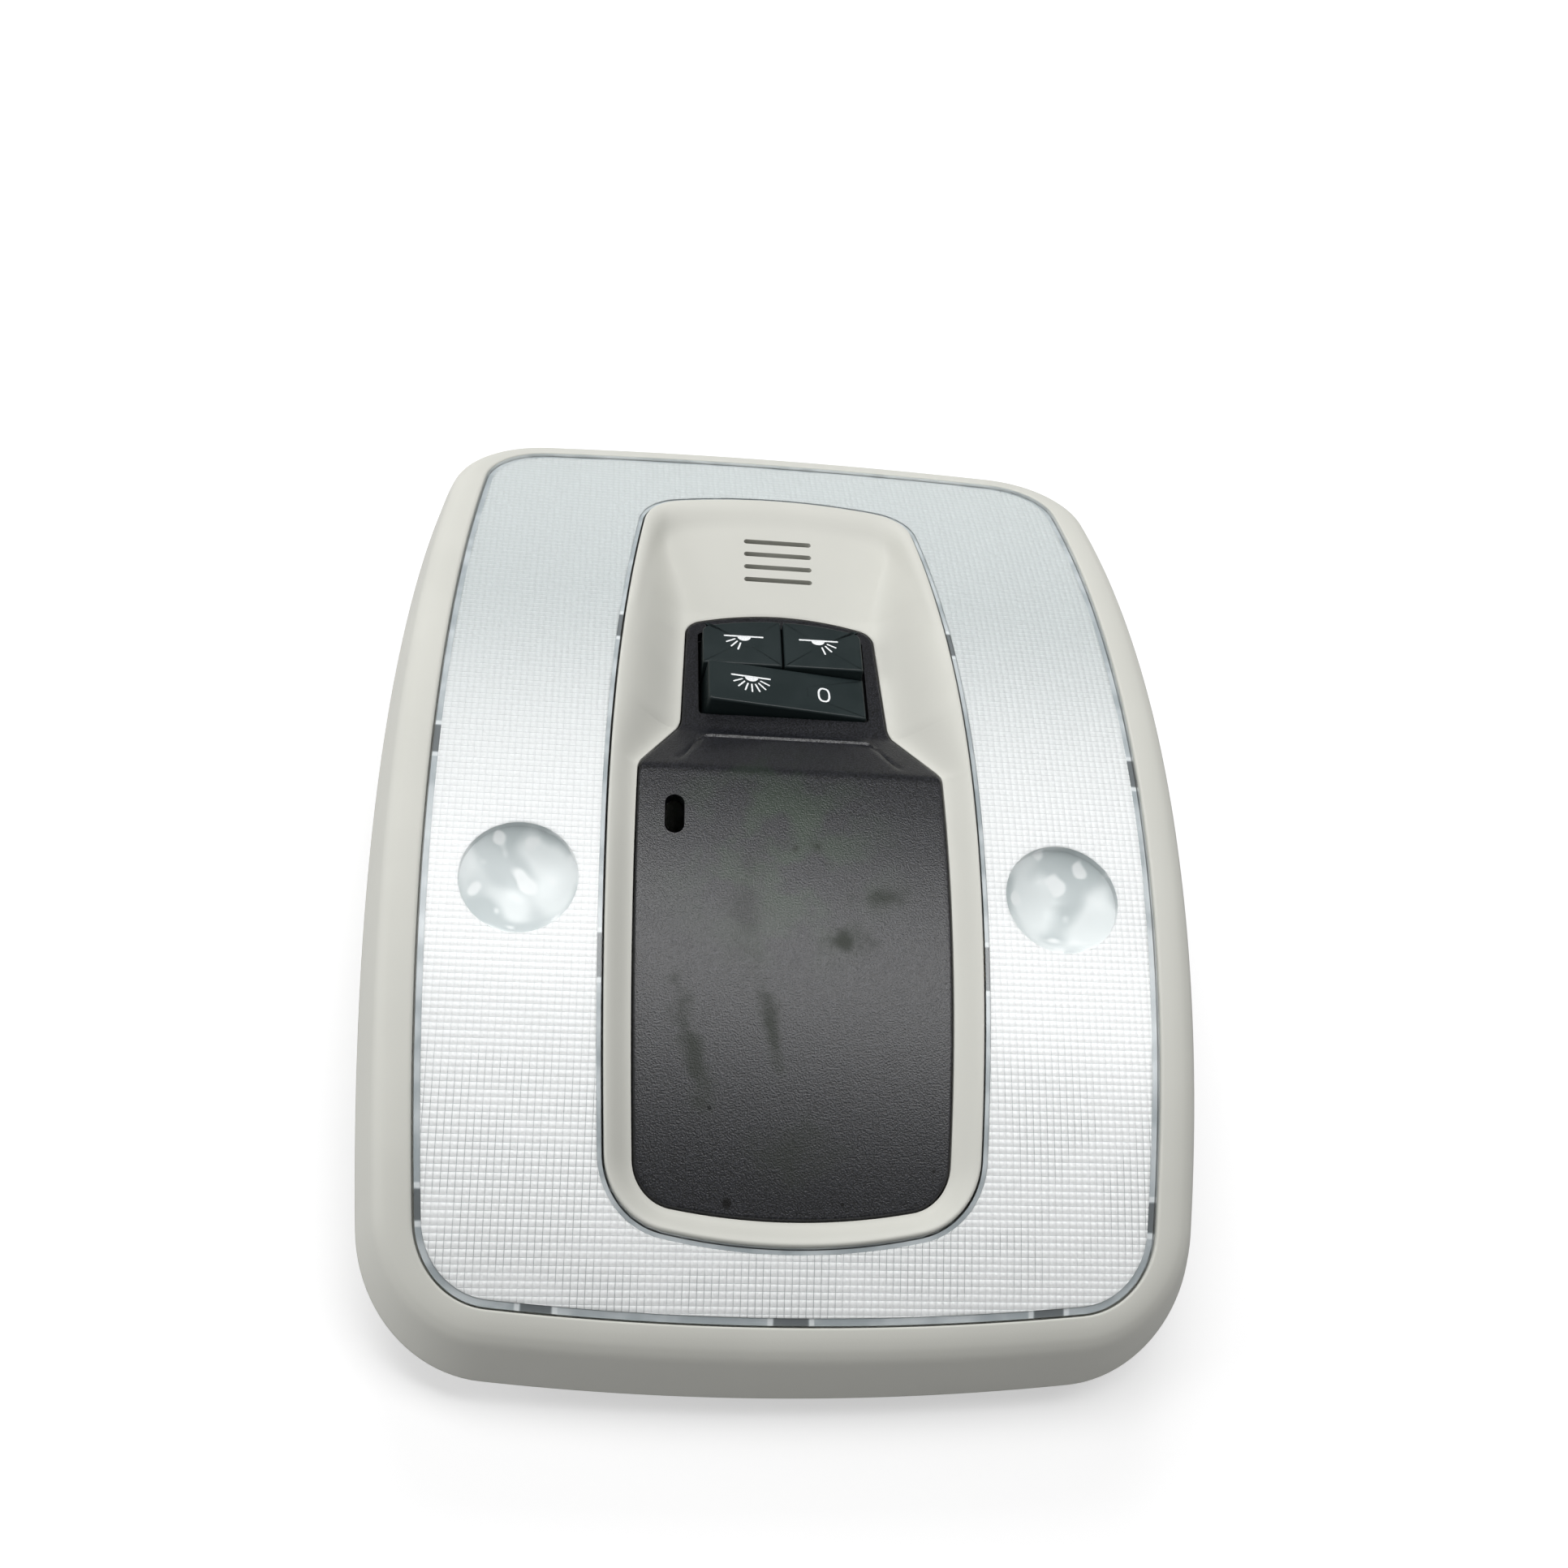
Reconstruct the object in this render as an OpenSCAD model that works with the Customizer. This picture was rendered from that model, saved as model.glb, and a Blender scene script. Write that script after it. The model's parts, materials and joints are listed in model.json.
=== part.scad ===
// Roof light console of a car: a crowned bezel and a one-piece prism lens round a sunk
// switch console, with two reading lights, two courtesy lamps and a switch unit behind it.
// Millimetres. X is across, +Y runs to the microphone end, +Z points out of the lens.
// The origin is under the middle of the flat rear face.

/* [Crown] */
// Height of the crown of the lens above the rear face
overall_h = 47; // [44:0.5:56]
// Radius of the crown, which follows the roof lining
crown_r = 234.4; // [210:1:320]

/* [Bezel] */
// Width of the bezel beside the lens
bezel_side_w = 10.6; // [8:0.1:13]
// Width of the bezel at the ends of the lens
bezel_end_w = 8.2; // [7:0.1:11]
// Radius of the bezel's corners
bezel_corner_r = 25; // [20:0.5:30]
// Depth of the bezel's wall below the crown
bezel_depth = 12.2; // [9:0.1:13]
// Wall of the bezel
bezel_wall = 2; // [1.4:0.1:2.6]
// Width of the ledge that carries the lens
ledge_w = 3; // [2.4:0.1:3.6]
// Thickness of that ledge
ledge_t = 1.8; // [1.2:0.1:2.4]

/* [Lens] */
// Width of the lens beside the console
lens_side_w = 32.9; // [31:0.1:35]
// Half length of the lens
lens_half_l = 97.6; // [96:0.1:100]
// Radius of the lens's corners
lens_corner_r = 14; // [10:0.5:18]
// Thickness of the lens
lens_t = 2.2; // [1.6:0.1:2.8]
// Depth of the lens's skirts below the crown
lens_skirt = 7; // [5:0.1:9]
// Thickness of the lens's skirts
lens_skirt_t = 1.5; // [1:0.1:2]
// Gap all round the lens
lens_gap = 0.3; // [0.2:0.05:0.5]
// Shift of the reading lights from the middle of that width toward the console
eye_shift = 1.05; // [0:0.05:2]
// Place of the reading lights along the console
eye_y = -24; // [-32:0.5:-16]
// Diameter of the clear reading window
eye_d = 21.4; // [18:0.1:24]
// Height of the window's inner bulge
eye_bulge = 1.6; // [0.8:0.1:2.4]

/* [Console trim] */
// Half width of the trim at its widest
trim_half_w = 34.8; // [33:0.1:36]
// End of the trim on the microphone side
trim_far_y = 80.6; // [78:0.1:83]
// End of the trim on the other side
trim_near_y = -85.7; // [-88:0.1:-84]
// Thickness of the trim
trim_t = 2; // [1.4:0.1:2.4]
// Depth of the trim's skirt below the crown
trim_skirt = 9.6; // [7:0.1:12]
// Number of microphone slots
slot_n = 4; // [2:1:5]
// Distance from slot to slot
slot_pitch = 3.45; // [3:0.05:3.8]
// Width of a slot
slot_w = 14.8; // [10:0.1:18]
// Height of a slot
slot_h = 1.2; // [0.8:0.1:1.6]
// Place of the first slot
slot_first_y = 58.1; // [57:0.1:60]

/* [Switch panel] */
// Half width of the lower panel
panel_half_w = 29.4; // [28:0.1:30.5]
// Near end of the panel
panel_near_y = -80.9; // [-82:0.1:-79]
// Depth of the lower panel below the crown
panel_sink = 3; // [2:0.1:4]
// Thickness of the panel
panel_t = 2.2; // [1.6:0.1:3]
// Gap between panel and trim
panel_gap = 0.25; // [0.15:0.05:0.4]
// Half width of the neck at the shoulders
neck_near_half_w = 20.8; // [19.5:0.1:22]
// Half width of the neck at the keys
neck_far_half_w = 19.8; // [19.5:0.1:21]
// Far end of the neck
neck_far_y = 48.2; // [47:0.1:50]
// Place where the ramp meets the lower panel
ramp_near_y = 2; // [0:0.1:4]
// Place where the ramp meets the switch field
ramp_far_y = 15.5; // [13:0.1:17]
// Place of the raised ridge at the end of the ramp
ridge_y = 13; // [11:0.1:14]
// Half length of that ridge
ridge_half_w = 15.8; // [14:0.1:17]
// Height of the ridge above the straight ramp
ridge_rise = 0.65; // [0.3:0.05:1]
// Tilt of the switch field
field_tilt = 7.83; // [5:0.01:10]
// Depth of the switch field below the crown's top, at the middle of the keys
field_sink = 12.83; // [11:0.01:14]
// Place of the middle of the keys
field_y = 33; // [32:0.1:34]
// Length of the oval slot
release_slot_l = 8.2; // [6:0.1:10]
// Width of the oval slot
release_slot_w = 3.7; // [3:0.1:4.5]

/* [Keys] */
// Half width of the key well
well_half_w = 17.4; // [16.8:0.1:18]
// Half width over the two keys
keys_half_w = 16.6; // [16:0.1:16.9]
// Far edge of the keys, from the middle of the keys
keys_far = 11.2; // [10:0.1:12]
// Radius of the keys' arched far edge
keys_arch_r = 58; // [50:1:80]
// Near edge of the well, from the middle of the keys
well_near = -13.4; // [-14:0.1:-12.8]
// Gap between the keys
key_gap = 0.45; // [0.3:0.05:0.6]
// Height of the keys above the switch field
key_rise = 2.9; // [2:0.1:4]
// Length of the rocker's cap along the console
rocker_l = 10.8; // [9:0.1:12]
// Travel of a reading key
key_travel = 1.5; // [1:0.1:2]
// Tilt of the rocker to each side
rocker_tilt = 6.6; // [4:0.1:8]
// Depth of the rocker's shaft below the switch field
shaft_sink = 3; // [2.6:0.1:4]
// Diameter of the rocker's shaft
shaft_d = 2; // [1.6:0.1:2.6]
// Radial running clearance of shafts, stems and plungers
running = 0.05; // [0.02:0.01:0.09]

/* [Housing] */
// Wall of the rear housing
housing_wall = 2; // [1.6:0.1:2.6]
// Height of the lamp chambers' floor above the rear face
chamber_z = 11; // [8:0.5:14]
// Gap between the housing and the ledge above it
housing_gap = 0.2; // [0.1:0.05:0.4]

/* [Lamps] */
// Diameter of a reading bulb's glass
bulb_d = 10; // [9:0.1:10.5]
// Length of a courtesy bulb over its caps
festoon_l = 37; // [35:0.5:40]
// Diameter of a courtesy bulb's glass
festoon_d = 10; // [9:0.1:11]
// Place of the middle of the courtesy bulbs
festoon_y = 40; // [34:1:46]

/* [Hidden] */
$fn = 64;
crown_fn = 720;
lens_half_w = trim_half_w + lens_side_w;
eye_x = trim_half_w + lens_side_w / 2 - eye_shift;
bezel_half_w = lens_half_w + bezel_side_w;
bezel_half_l = lens_half_l + bezel_end_w;
tall = 200;
side_r = 900;
end_r = 580;
side_steps = 5;
corner_steps = 6;
end_steps = 6;
trim_up = [trim_far_y + 10, 580, 95, 9.5];
trim_down = [-10 - trim_near_y, 1000, 115, 13];
trim_wide_y = -10;
panel_wide_y = -15;
skirt_t = 1.4;
panel_down = [panel_wide_y - panel_near_y, 1000, 125, 8];
shoulder_near_y = 2.4;
shoulder_far_y = 16.6;
neck_corner_r = 4;
neck_end_r = 56;
well_far_gap = 0.7;
eye_edge = eye_d / 2;

// Height of the crown, or of a surface at some depth below it
function crown_z(y, depth = 0) =
    overall_h - crown_r + sqrt(pow(crown_r - depth, 2) - y * y);

// One quarter of a bowed outline: a side arc, a corner arc and an end arc, all tangent.
// e holds half length, side radius, end radius and corner radius; g moves it outward.
function corner_centre(hw, e) =
    let (ax = hw - e[1], by = e[0] - e[2], d = norm([ax, by]),
         ra = e[1] - e[3], rb = e[2] - e[3],
         a = (ra * ra - rb * rb + d * d) / (2 * d), h = sqrt(ra * ra - a * a),
         ex = -ax / d, ey = by / d)
    [ax + a * ex - h * ey, a * ey + h * ex];
function arc(c, r, a0, a1, n) = [for (i = [0 : n - 1])
    let (a = a0 + (a1 - a0) * i / n) [c[0] + r * cos(a), c[1] + r * sin(a)]];
function quarter(hw, e, g = 0) =
    let (p = corner_centre(hw, e), ax = hw - e[1], by = e[0] - e[2],
         a1 = atan2(p[1], p[0] - ax), a2 = atan2(p[1] - by, p[0]))
    concat(arc([ax, 0], e[1] + g, 0, a1, side_steps),
        arc(p, e[3] + g, a1, a2, corner_steps),
        arc([0, by], e[2] + g, a2, 90, end_steps), [[0, e[0] + g]]);
function outline(hw, y0, up, down, g = 0) =
    let (q = quarter(hw, up, g), p = quarter(hw, down, g), n = len(q) - 1)
    concat([for (i = [0 : n]) [q[i][0], y0 + q[i][1]]],
        [for (i = [n - 1 : -1 : 1]) [-q[i][0], y0 + q[i][1]]],
        [for (i = [0 : n]) [-p[i][0], y0 - p[i][1]]],
        [for (i = [n - 1 : -1 : 1]) [p[i][0], y0 - p[i][1]]]);
function lens_outline(g = 0) =
    let (e = [lens_half_l, side_r, end_r, lens_corner_r]) outline(lens_half_w, 0, e, e, g);
function bezel_outline() =
    let (e = [bezel_half_l, side_r, end_r, bezel_corner_r]) outline(bezel_half_w, 0, e, e);
function trim_outline(g = 0) = outline(trim_half_w, trim_wide_y, trim_up, trim_down, g);

// Right half of the switch panel's outline, from the near end to the far end
function neck_tail() =
    let (dy = neck_far_y - neck_end_r, px = neck_far_half_w - neck_corner_r,
         py = dy + sqrt(pow(neck_end_r - neck_corner_r, 2) - px * px),
         a2 = atan2(py - dy, px))
    concat(arc([px, py], neck_corner_r, 0, a2, corner_steps),
        arc([0, dy], neck_end_r, a2, 90, side_steps + end_steps - 2), [[0, neck_far_y]]);
function panel_lower() =
    let (q = quarter(panel_half_w, panel_down), n = len(q) - 1)
    [for (i = [n : -1 : 0]) [q[i][0], panel_wide_y - q[i][1]]];
function panel_x(y) =
    y <= shoulder_near_y ? panel_half_w - (panel_down[1] - sqrt(pow(panel_down[1], 2)
        - pow(y - panel_wide_y, 2)))
    : y <= shoulder_far_y ? panel_x(shoulder_near_y) + (neck_near_half_w
        - panel_x(shoulder_near_y)) * (y - shoulder_near_y) / (shoulder_far_y - shoulder_near_y)
    : neck_near_half_w + (neck_far_half_w - neck_near_half_w) * (y - shoulder_far_y)
        / (neck_tail()[0][1] - shoulder_far_y);
panel_side_ys = [-8, -2.5, 1.2, shoulder_near_y, 5, 8, 11, 14, shoulder_far_y, 19, 23, 28, 33, 38];
function panel_right() = concat(panel_lower(),
    [for (y = panel_side_ys) [panel_x(y), y]], neck_tail());
function mirrored(half) = concat(half,
    [for (i = [len(half) - 2 : -1 : 1]) [-half[i][0], half[i][1]]]);

// The trim's outline with one point for each point of the panel's
function trim_x(y) = trim_half_w - (trim_up[1] - sqrt(pow(trim_up[1], 2)
    - pow(y - trim_wide_y, 2)));
function trim_tail() =
    let (q = quarter(trim_half_w, trim_up), y1 = q[side_steps][1] + trim_wide_y,
         y0 = neck_tail()[0][1], n = side_steps - 2)
    concat([for (i = [0 : n - 1]) let (y = y0 + (y1 - y0) * i / n) [trim_x(y), y]],
        [for (i = [side_steps : len(q) - 1]) [q[i][0], q[i][1] + trim_wide_y]]);
function trim_right() =
    let (q = quarter(trim_half_w, trim_down), n = len(q) - 1)
    concat([for (i = [n : -1 : 0]) [q[i][0], trim_wide_y - q[i][1]]],
        [for (y = panel_side_ys) [trim_x(y), y]], trim_tail());

// Height of the sunk floor along the middle line of the console
function field_z(y) = overall_h - field_sink - tan(field_tilt) * (y - field_y);
function floor_z(y) =
    y <= ramp_near_y ? crown_z(y, panel_sink)
    : y <= ramp_far_y ? crown_z(ramp_near_y, panel_sink) + (field_z(ramp_far_y)
        - crown_z(ramp_near_y, panel_sink)) * (y - ramp_near_y) / (ramp_far_y - ramp_near_y)
    : y <= neck_far_y ? field_z(y)
    : field_z(neck_far_y) + (crown_z(trim_far_y) - field_z(neck_far_y))
        * (y - neck_far_y) / (trim_far_y - neck_far_y);
function ease(w) = w <= 0 ? 0 : w >= 1 ? 1 : w * w * (3 - 2 * w);
function foot_x(y) = y <= neck_far_y ? panel_x(min(y, neck_tail()[0][1]))
    : neck_far_half_w + 4 * ease((y - neck_far_y) / 20);

// Closed ring skin: rows[k] is one loop of points, and the last row joins the first
module ring_skin(rows) {
    n = len(rows[0]);
    m = len(rows);
    pts = [for (r = rows) for (p = r) p];
    faces = [for (k = [0 : m - 1]) for (i = [0 : n - 1]) for (t = [0, 1])
        let (a = k * n + i, b = k * n + (i + 1) % n, k1 = (k + 1) % m,
             c = k1 * n + (i + 1) % n, d = k1 * n + i)
        t == 0 ? [a, b, c] : [a, c, d]];
    polyhedron(points = pts, faces = faces, convexity = 10);
}

// Solid under the crown, down from a given depth
module under_crown(depth) {
    translate([0, 0, overall_h - crown_r]) rotate([0, 90, 0])
        cylinder(r = crown_r - depth, h = tall, center = true, $fn = crown_fn);
}

// Wall that follows the crown between two outlines and two depths
module crowned_wall(outer, inner, top, bottom) {
    difference() {
        intersection() {
            linear_extrude(height = overall_h + 1) difference() {
                polygon(outer);
                polygon(inner);
            }
            under_crown(top);
        }
        under_crown(bottom);
    }
}

function field_point(v, w) = [field_y + v * cos(field_tilt) + w * sin(field_tilt),
    overall_h - field_sink - v * sin(field_tilt) + w * cos(field_tilt)];
module on_field() {
    translate([0, field_y, overall_h - field_sink]) rotate([-field_tilt, 0, 0]) children();
}

// Face and wall of the bezel as share of its width and depth, from the lens outward
bezel_face = [[0, 0.5], [0.03, 0.12], [0.08, 0], [0.25, 0.03], [0.42, 0.3], [0.52, 0.75],
    [0.6, 1.35], [0.66, 2.2], [0.71, 3.4], [0.82, 6.3], [1, bezel_depth]];

module bezel() {
    a = lens_outline(lens_gap);
    b = bezel_outline();
    in = lens_outline(-ledge_w);
    ledge_top = lens_t + lens_gap;
    ledge_low = ledge_top + ledge_t;
    step = bezel_wall / bezel_side_w;
    roll = bezel_face[7];
    flank = bezel_face[9];
    function at(f, d) = [for (i = [0 : len(a) - 1])
        let (p = a[i] + (b[i] - a[i]) * f) [p[0], p[1], crown_z(p[1], d)]];
    rows = concat([for (s = bezel_face) at(s[0], s[1])],
        [at(1 - step, bezel_depth), at(flank[0] - step, flank[1] + bezel_wall * 0.3),
         at(roll[0] - step, ledge_low)],
        [for (d = [ledge_low, ledge_top]) [for (p = in) [p[0], p[1], crown_z(p[1], d)]]],
        [at(0, ledge_top)]);
    color([0.80, 0.79, 0.76]) ring_skin(rows);
}

module lens() {
    inner = trim_outline(lens_gap);
    skirt_out = lens_outline(-ledge_w - lens_gap);
    color([0.88, 0.90, 0.92, 0.5]) {
        crowned_wall(lens_outline(), inner, 0, lens_t);
        crowned_wall(skirt_out, lens_outline(-ledge_w - lens_gap - lens_skirt_t),
            lens_t / 2, lens_skirt);
        crowned_wall(trim_outline(lens_gap + lens_skirt_t), inner, lens_t / 2, lens_skirt);
        for (s = [-1, 1]) eye_bulge_body(s);
        for (p = hook_at) lens_hook(p);
    }
}
// Snap hooks on the lens's outer skirt: place along the side, then which side
hook_at = [[4, 1], [4, -1], [-50, 1], [-50, -1], [50, 1], [50, -1]];
hook_w = 6;
hook_out = 0.5;
hook_l = 1.8;
function hook_x(y) = lens_half_w - ledge_w - lens_gap - (side_r - sqrt(side_r * side_r - y * y));
module lens_hook(p) {
    z = crown_z(p[0], lens_skirt);
    mirror([p[1] < 0 ? 1 : 0, 0, 0]) translate([hook_x(p[0]), p[0], z])
        rotate([90, 0, 0]) linear_extrude(height = hook_w, center = true)
            polygon([[-lens_skirt_t, 0], [0, 0], [hook_out, hook_l * 0.6], [hook_out, hook_l],
                [0, hook_l], [-lens_skirt_t / 2, hook_l + 1], [-lens_skirt_t, hook_l]]);
}
module eye_bulge_body(s) {
    cap_r = (eye_edge * eye_edge + eye_bulge * eye_bulge) / (2 * eye_bulge);
    tilt = -asin(eye_y / crown_r);
    translate([s * eye_x, eye_y, crown_z(eye_y)]) rotate([tilt, 0, 0])
        rotate_extrude() intersection() {
            translate([0, -lens_t / 2 - eye_bulge - lens_t / 2])
                square([eye_edge, lens_t / 2 + eye_bulge]);
            translate([0, cap_r - lens_t - eye_bulge]) circle(r = cap_r, $fn = 180);
        }
}

module console_trim() {
    outer = mirrored(trim_right());
    inner = mirrored(panel_right());
    count = len(outer) - 1;
    function grown(p) = p[1] > 20 ? away(p, [0, 20]) : p[1] < -70 ? away(p, [0, -60])
        : [p[0] + sign(p[0]) * panel_gap, p[1]];
    function away(p, c) = p + (p - c) * panel_gap / norm(p - c);
    edge = [for (p = inner) grown(p)];
    // A point between rim and edge: a distance in from the rim, then a share of the rest
    function between(i, m, f) = let (d = edge[i] - outer[i], l = norm(d))
        outer[i] + d * (m + f * (l - m)) / l;
    function fall(i, p) =
        let (sunk = crown_z(p[1]) - floor_z(p[1]), t = norm(p - outer[i]) / norm(edge[i] - outer[i]),
             w = (trim_x(p[1]) - abs(p[0])) / (trim_x(p[1]) - foot_x(p[1])))
        p[1] > neck_tail()[0][1] ? sunk * ease(w) * ease(t / 0.25) : sunk * ease(t);
    function skin(m, f, drop) = [for (i = [0 : count])
        let (p = between(i, m, f)) [p[0], p[1], crown_z(p[1]) - fall(i, p) - drop]];
    function skirt(m) = [for (i = [0 : count])
        let (p = between(i, m, 0)) [p[0], p[1], crown_z(p[1], trim_skirt)]];
    shares = [0, 0.12, 0.25, 0.38, 0.52, 0.66, 0.8, 0.92, 1];
    rows = concat([skirt(0), skin(0, 0, 0.5), skin(0.15, 0, 0.15)],
        [for (f = shares) skin(0.5, f, 0)], [skin(0.5, 1, trim_t)],
        [for (i = [len(shares) - 2 : -1 : 1]) skin(0.5, shares[i], trim_t)],
        [skin(skirt_t, 0, trim_t), skirt(skirt_t)]);
    color([0.82, 0.81, 0.78]) difference() {
        ring_skin([for (i = [len(rows) - 1 : -1 : 0]) rows[i]]);
        for (i = [0 : slot_n - 1])
            translate([0, slot_first_y + i * slot_pitch, overall_h - field_sink - 12])
                linear_extrude(height = 20) round_slot(slot_w, slot_h);
    }
}
module round_slot(l, w) {
    square([l - w, w], center = true);
    for (s = [-1, 1]) translate([s * (l - w) / 2, 0]) circle(d = w);
}

module panel_plate(top, bottom) {
    ys = concat([panel_near_y - 2], [for (i = [0 : 14]) -80 + i * 5.8],
        [ramp_near_y, ramp_far_y, neck_far_y + 2]);
    line_top = [for (y = ys) [y, (y > neck_far_y ? field_z(y) : floor_z(y)) - top]];
    line_low = [for (i = [len(ys) - 1 : -1 : 0]) line_top[i] + [0, top - bottom]];
    rotate([90, 0, 90]) linear_extrude(height = 80, center = true)
        polygon(concat(line_top, line_low));
}
module panel_prism(g) {
    linear_extrude(height = overall_h + 1) offset_outline(g);
}
module offset_outline(g) {
    polygon(mirrored([for (p = panel_right()) [max(0, p[0] - (p[0] > 0.01 ? g : 0)),
        p[1] > neck_far_y - 4 ? p[1] - g : p[1] < panel_near_y + 9 ? p[1] + g : p[1]]]));
}
module well_cut(extra, top, bottom) {
    far = keys_far + well_far_gap + extra;
    translate([0, 0, bottom]) linear_extrude(height = top - bottom) intersection() {
        translate([-well_half_w - extra, well_near - extra])
            square([2 * (well_half_w + extra), far - well_near + extra]);
        translate([0, far - keys_arch_r]) circle(r = keys_arch_r, $fn = 360);
    }
}
module switch_panel() {
    color([0.15, 0.16, 0.16]) difference() {
        union() {
            intersection() {
                panel_prism(0);
                panel_plate(0, panel_t);
            }
            difference() {
                intersection() {
                    panel_prism(0);
                    panel_plate(panel_t / 2, panel_t + 4);
                }
                panel_prism(1.1);
            }
            raised_ramp();
            panel_bosses();
        }
        on_field() well_cut(0, 10, -20);
        translate([-22.3, -8.6, overall_h - 14]) linear_extrude(height = 20)
            rotate(90) round_slot(release_slot_l, release_slot_w);
    }
}
// Raised middle of the ramp: it falls off behind the ridge and along two hips
module raised_ramp() {
    foot_w = ridge_half_w + 1.6;
    hip_w = ridge_half_w + 6.5;
    top = [[hip_w, ramp_near_y, 0], [ridge_half_w, ridge_y, ridge_rise], [foot_w, ramp_far_y, 0],
        [-foot_w, ramp_far_y, 0], [-ridge_half_w, ridge_y, ridge_rise], [-hip_w, ramp_near_y, 0]];
    rim = [0, 2, 3, 5];
    n = len(top);
    pts = concat([for (p = top) [p[0], p[1], floor_z(p[1]) + p[2]]],
        [for (i = rim) [top[i][0], top[i][1], floor_z(top[i][1]) - panel_t / 2]]);
    sides = [for (i = [0 : 3]) [rim[i], rim[(i + 1) % 4], n + (i + 1) % 4, n + i]];
    polyhedron(points = pts, faces = concat([[4, 1, 0, 5], [4, 3, 2, 1], [1, 2, 0], [3, 4, 5],
        [n, n + 1, n + 2, n + 3]], sides));
}

boss_at = [[-20, -70], [20, -70], [-16, -6], [24, -6]];
boss_d = 7;
boss_l = 7;
boss_screw_d = 2.6;
post_d = 9;
post_top_z = crown_z(boss_at[0][1], panel_sink + panel_t) - boss_l;
screw_head_d = 5.5;
screw_bite = boss_l - 1;
screw_web = 8;
screw_seat_z = post_top_z - screw_web;
module panel_bosses() {
    for (p = boss_at) difference() {
        intersection() {
            translate([p[0], p[1], post_top_z]) cylinder(d = boss_d, h = 30);
            under_crown(panel_sink + panel_t / 2);
        }
        translate([p[0], p[1], post_top_z - 1]) cylinder(d = boss_screw_d, h = boss_l + 0.6);
    }
}

// Reading keys: arched caps with a guide stem, drawn on the switch field
key_near = well_near + key_gap + rocker_l + key_gap;
key_skirt = 5;
stem_d = 5;
stem_y = 5;
housing_floor = 14.5;
stem_end = housing_floor + 1.2;
module key_blank(g, top, bottom) {
    translate([0, 0, bottom]) linear_extrude(height = top - bottom) intersection() {
        translate([key_gap / 2 + g, key_near + g])
            square([keys_half_w - key_gap / 2 - 2 * g, keys_far - key_near - g]);
        translate([0, keys_far - keys_arch_r]) circle(r = keys_arch_r - g, $fn = 360);
    }
}
module key(s) {
    cx = keys_half_w / 2;
    color([0.12, 0.13, 0.13]) on_field() mirror([s < 0 ? 1 : 0, 0, 0]) {
        difference() {
            union() {
                key_blank(0, key_rise - 0.5, -key_skirt);
                key_blank(0.25, key_rise - 0.2, key_rise - 0.5);
                key_blank(0.6, key_rise, key_rise - 0.2);
            }
            key_blank(1.4, key_rise - 1.6, -key_skirt - 1);
        }
        translate([cx, stem_y, -stem_end]) cylinder(d = stem_d, h = stem_end + key_rise - 1);
    }
}
module left_key() { key(-1); }
module right_key() { key(1); }

rocker_y = well_near + key_gap + rocker_l / 2;
rocker_half = keys_half_w - 0.3;
ear_gap = 3.2;
ear_t = 2;
leg_l = 14.8;
module rocker_turned() {
    on_field() translate([0, rocker_y, -shaft_sink]) rotate([0, rocker_tilt, 0]) children();
}
module rocker_profile(g, low) {
    polygon(concat([[-rocker_half + g, low], [rocker_half - g, low]],
        arc([rocker_half - 1, key_rise + shaft_sink - 1.4 - g], 1 - g * 0.3, 0, 90, 4),
        [[0, key_rise + shaft_sink - 0.4 - g]],
        arc([-rocker_half + 1, key_rise + shaft_sink - 1.4 - g], 1 - g * 0.3, 90, 180, 4)));
}
module rocker() {
    color([0.12, 0.13, 0.13]) rocker_turned() difference() {
        union() {
            difference() {
                rotate([90, 0, 0]) linear_extrude(height = rocker_l, center = true)
                    rocker_profile(0, -2.2);
                rotate([90, 0, 0]) linear_extrude(height = rocker_l - 2.6, center = true)
                    rocker_profile(1.5, -3);
            }
            translate([-2, -1.4, -3]) cube([4, 2.8, key_rise + shaft_sink + 2]);
            translate([-1, -1.4, -leg_l]) cube([2, 2.8, leg_l]);
        }
        rotate([90, 0, 0]) cylinder(d = shaft_d, h = rocker_l + 2, center = true);
    }
}
module rocker_shaft() {
    color([0.7, 0.7, 0.72]) rocker_turned()
        rotate([90, 0, 0]) cylinder(d = shaft_d, h = rocker_l - 0.4, center = true);
}

board_sink = housing_floor + 8;
box_wall = 1.2;
standoff_at = [[-15, -9], [15, -9], [-15.8, 4], [15.8, 4]];

// Box behind the keys: walls, shaft ears and guide bushes
module switch_housing() {
    top = -panel_t - 0.3;
    color([0.18, 0.18, 0.18]) on_field() difference() {
        union() {
            difference() {
                well_cut(box_wall - 0.3, top, -housing_floor - 1.5);
                well_cut(-0.3, top + 1, -housing_floor);
            }
            for (p = standoff_at) translate([p[0], p[1], -board_sink])
                cylinder(d = 4.4, h = board_sink - housing_floor);
            for (s = [-1, 1]) {
                translate([-2.5, rocker_y + s * (ear_gap / 2 + ear_t / 2) - ear_t / 2, -housing_floor])
                    cube([5, ear_t, housing_floor - shaft_sink + 1.6]);
                translate([s * keys_half_w / 2, stem_y, -housing_floor])
                    cylinder(d = stem_d + 3, h = 5);
            }
        }
        translate([0, rocker_y, -shaft_sink]) rotate([90, 0, 0])
            cylinder(r = shaft_d / 2 + running, h = 2 * ear_t + ear_gap + 1, center = true);
        for (s = [-1, 1]) translate([s * keys_half_w / 2, stem_y, -housing_floor - 3])
            cylinder(r = stem_d / 2 + running, h = 12);
        translate([-3.5, rocker_y - 2.5, -housing_floor - 3]) cube([7, 5, 4]);
        for (p = standoff_at) translate([p[0], p[1], -board_sink - 1]) cylinder(d = 1.9, h = 6);
    }
}

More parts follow.
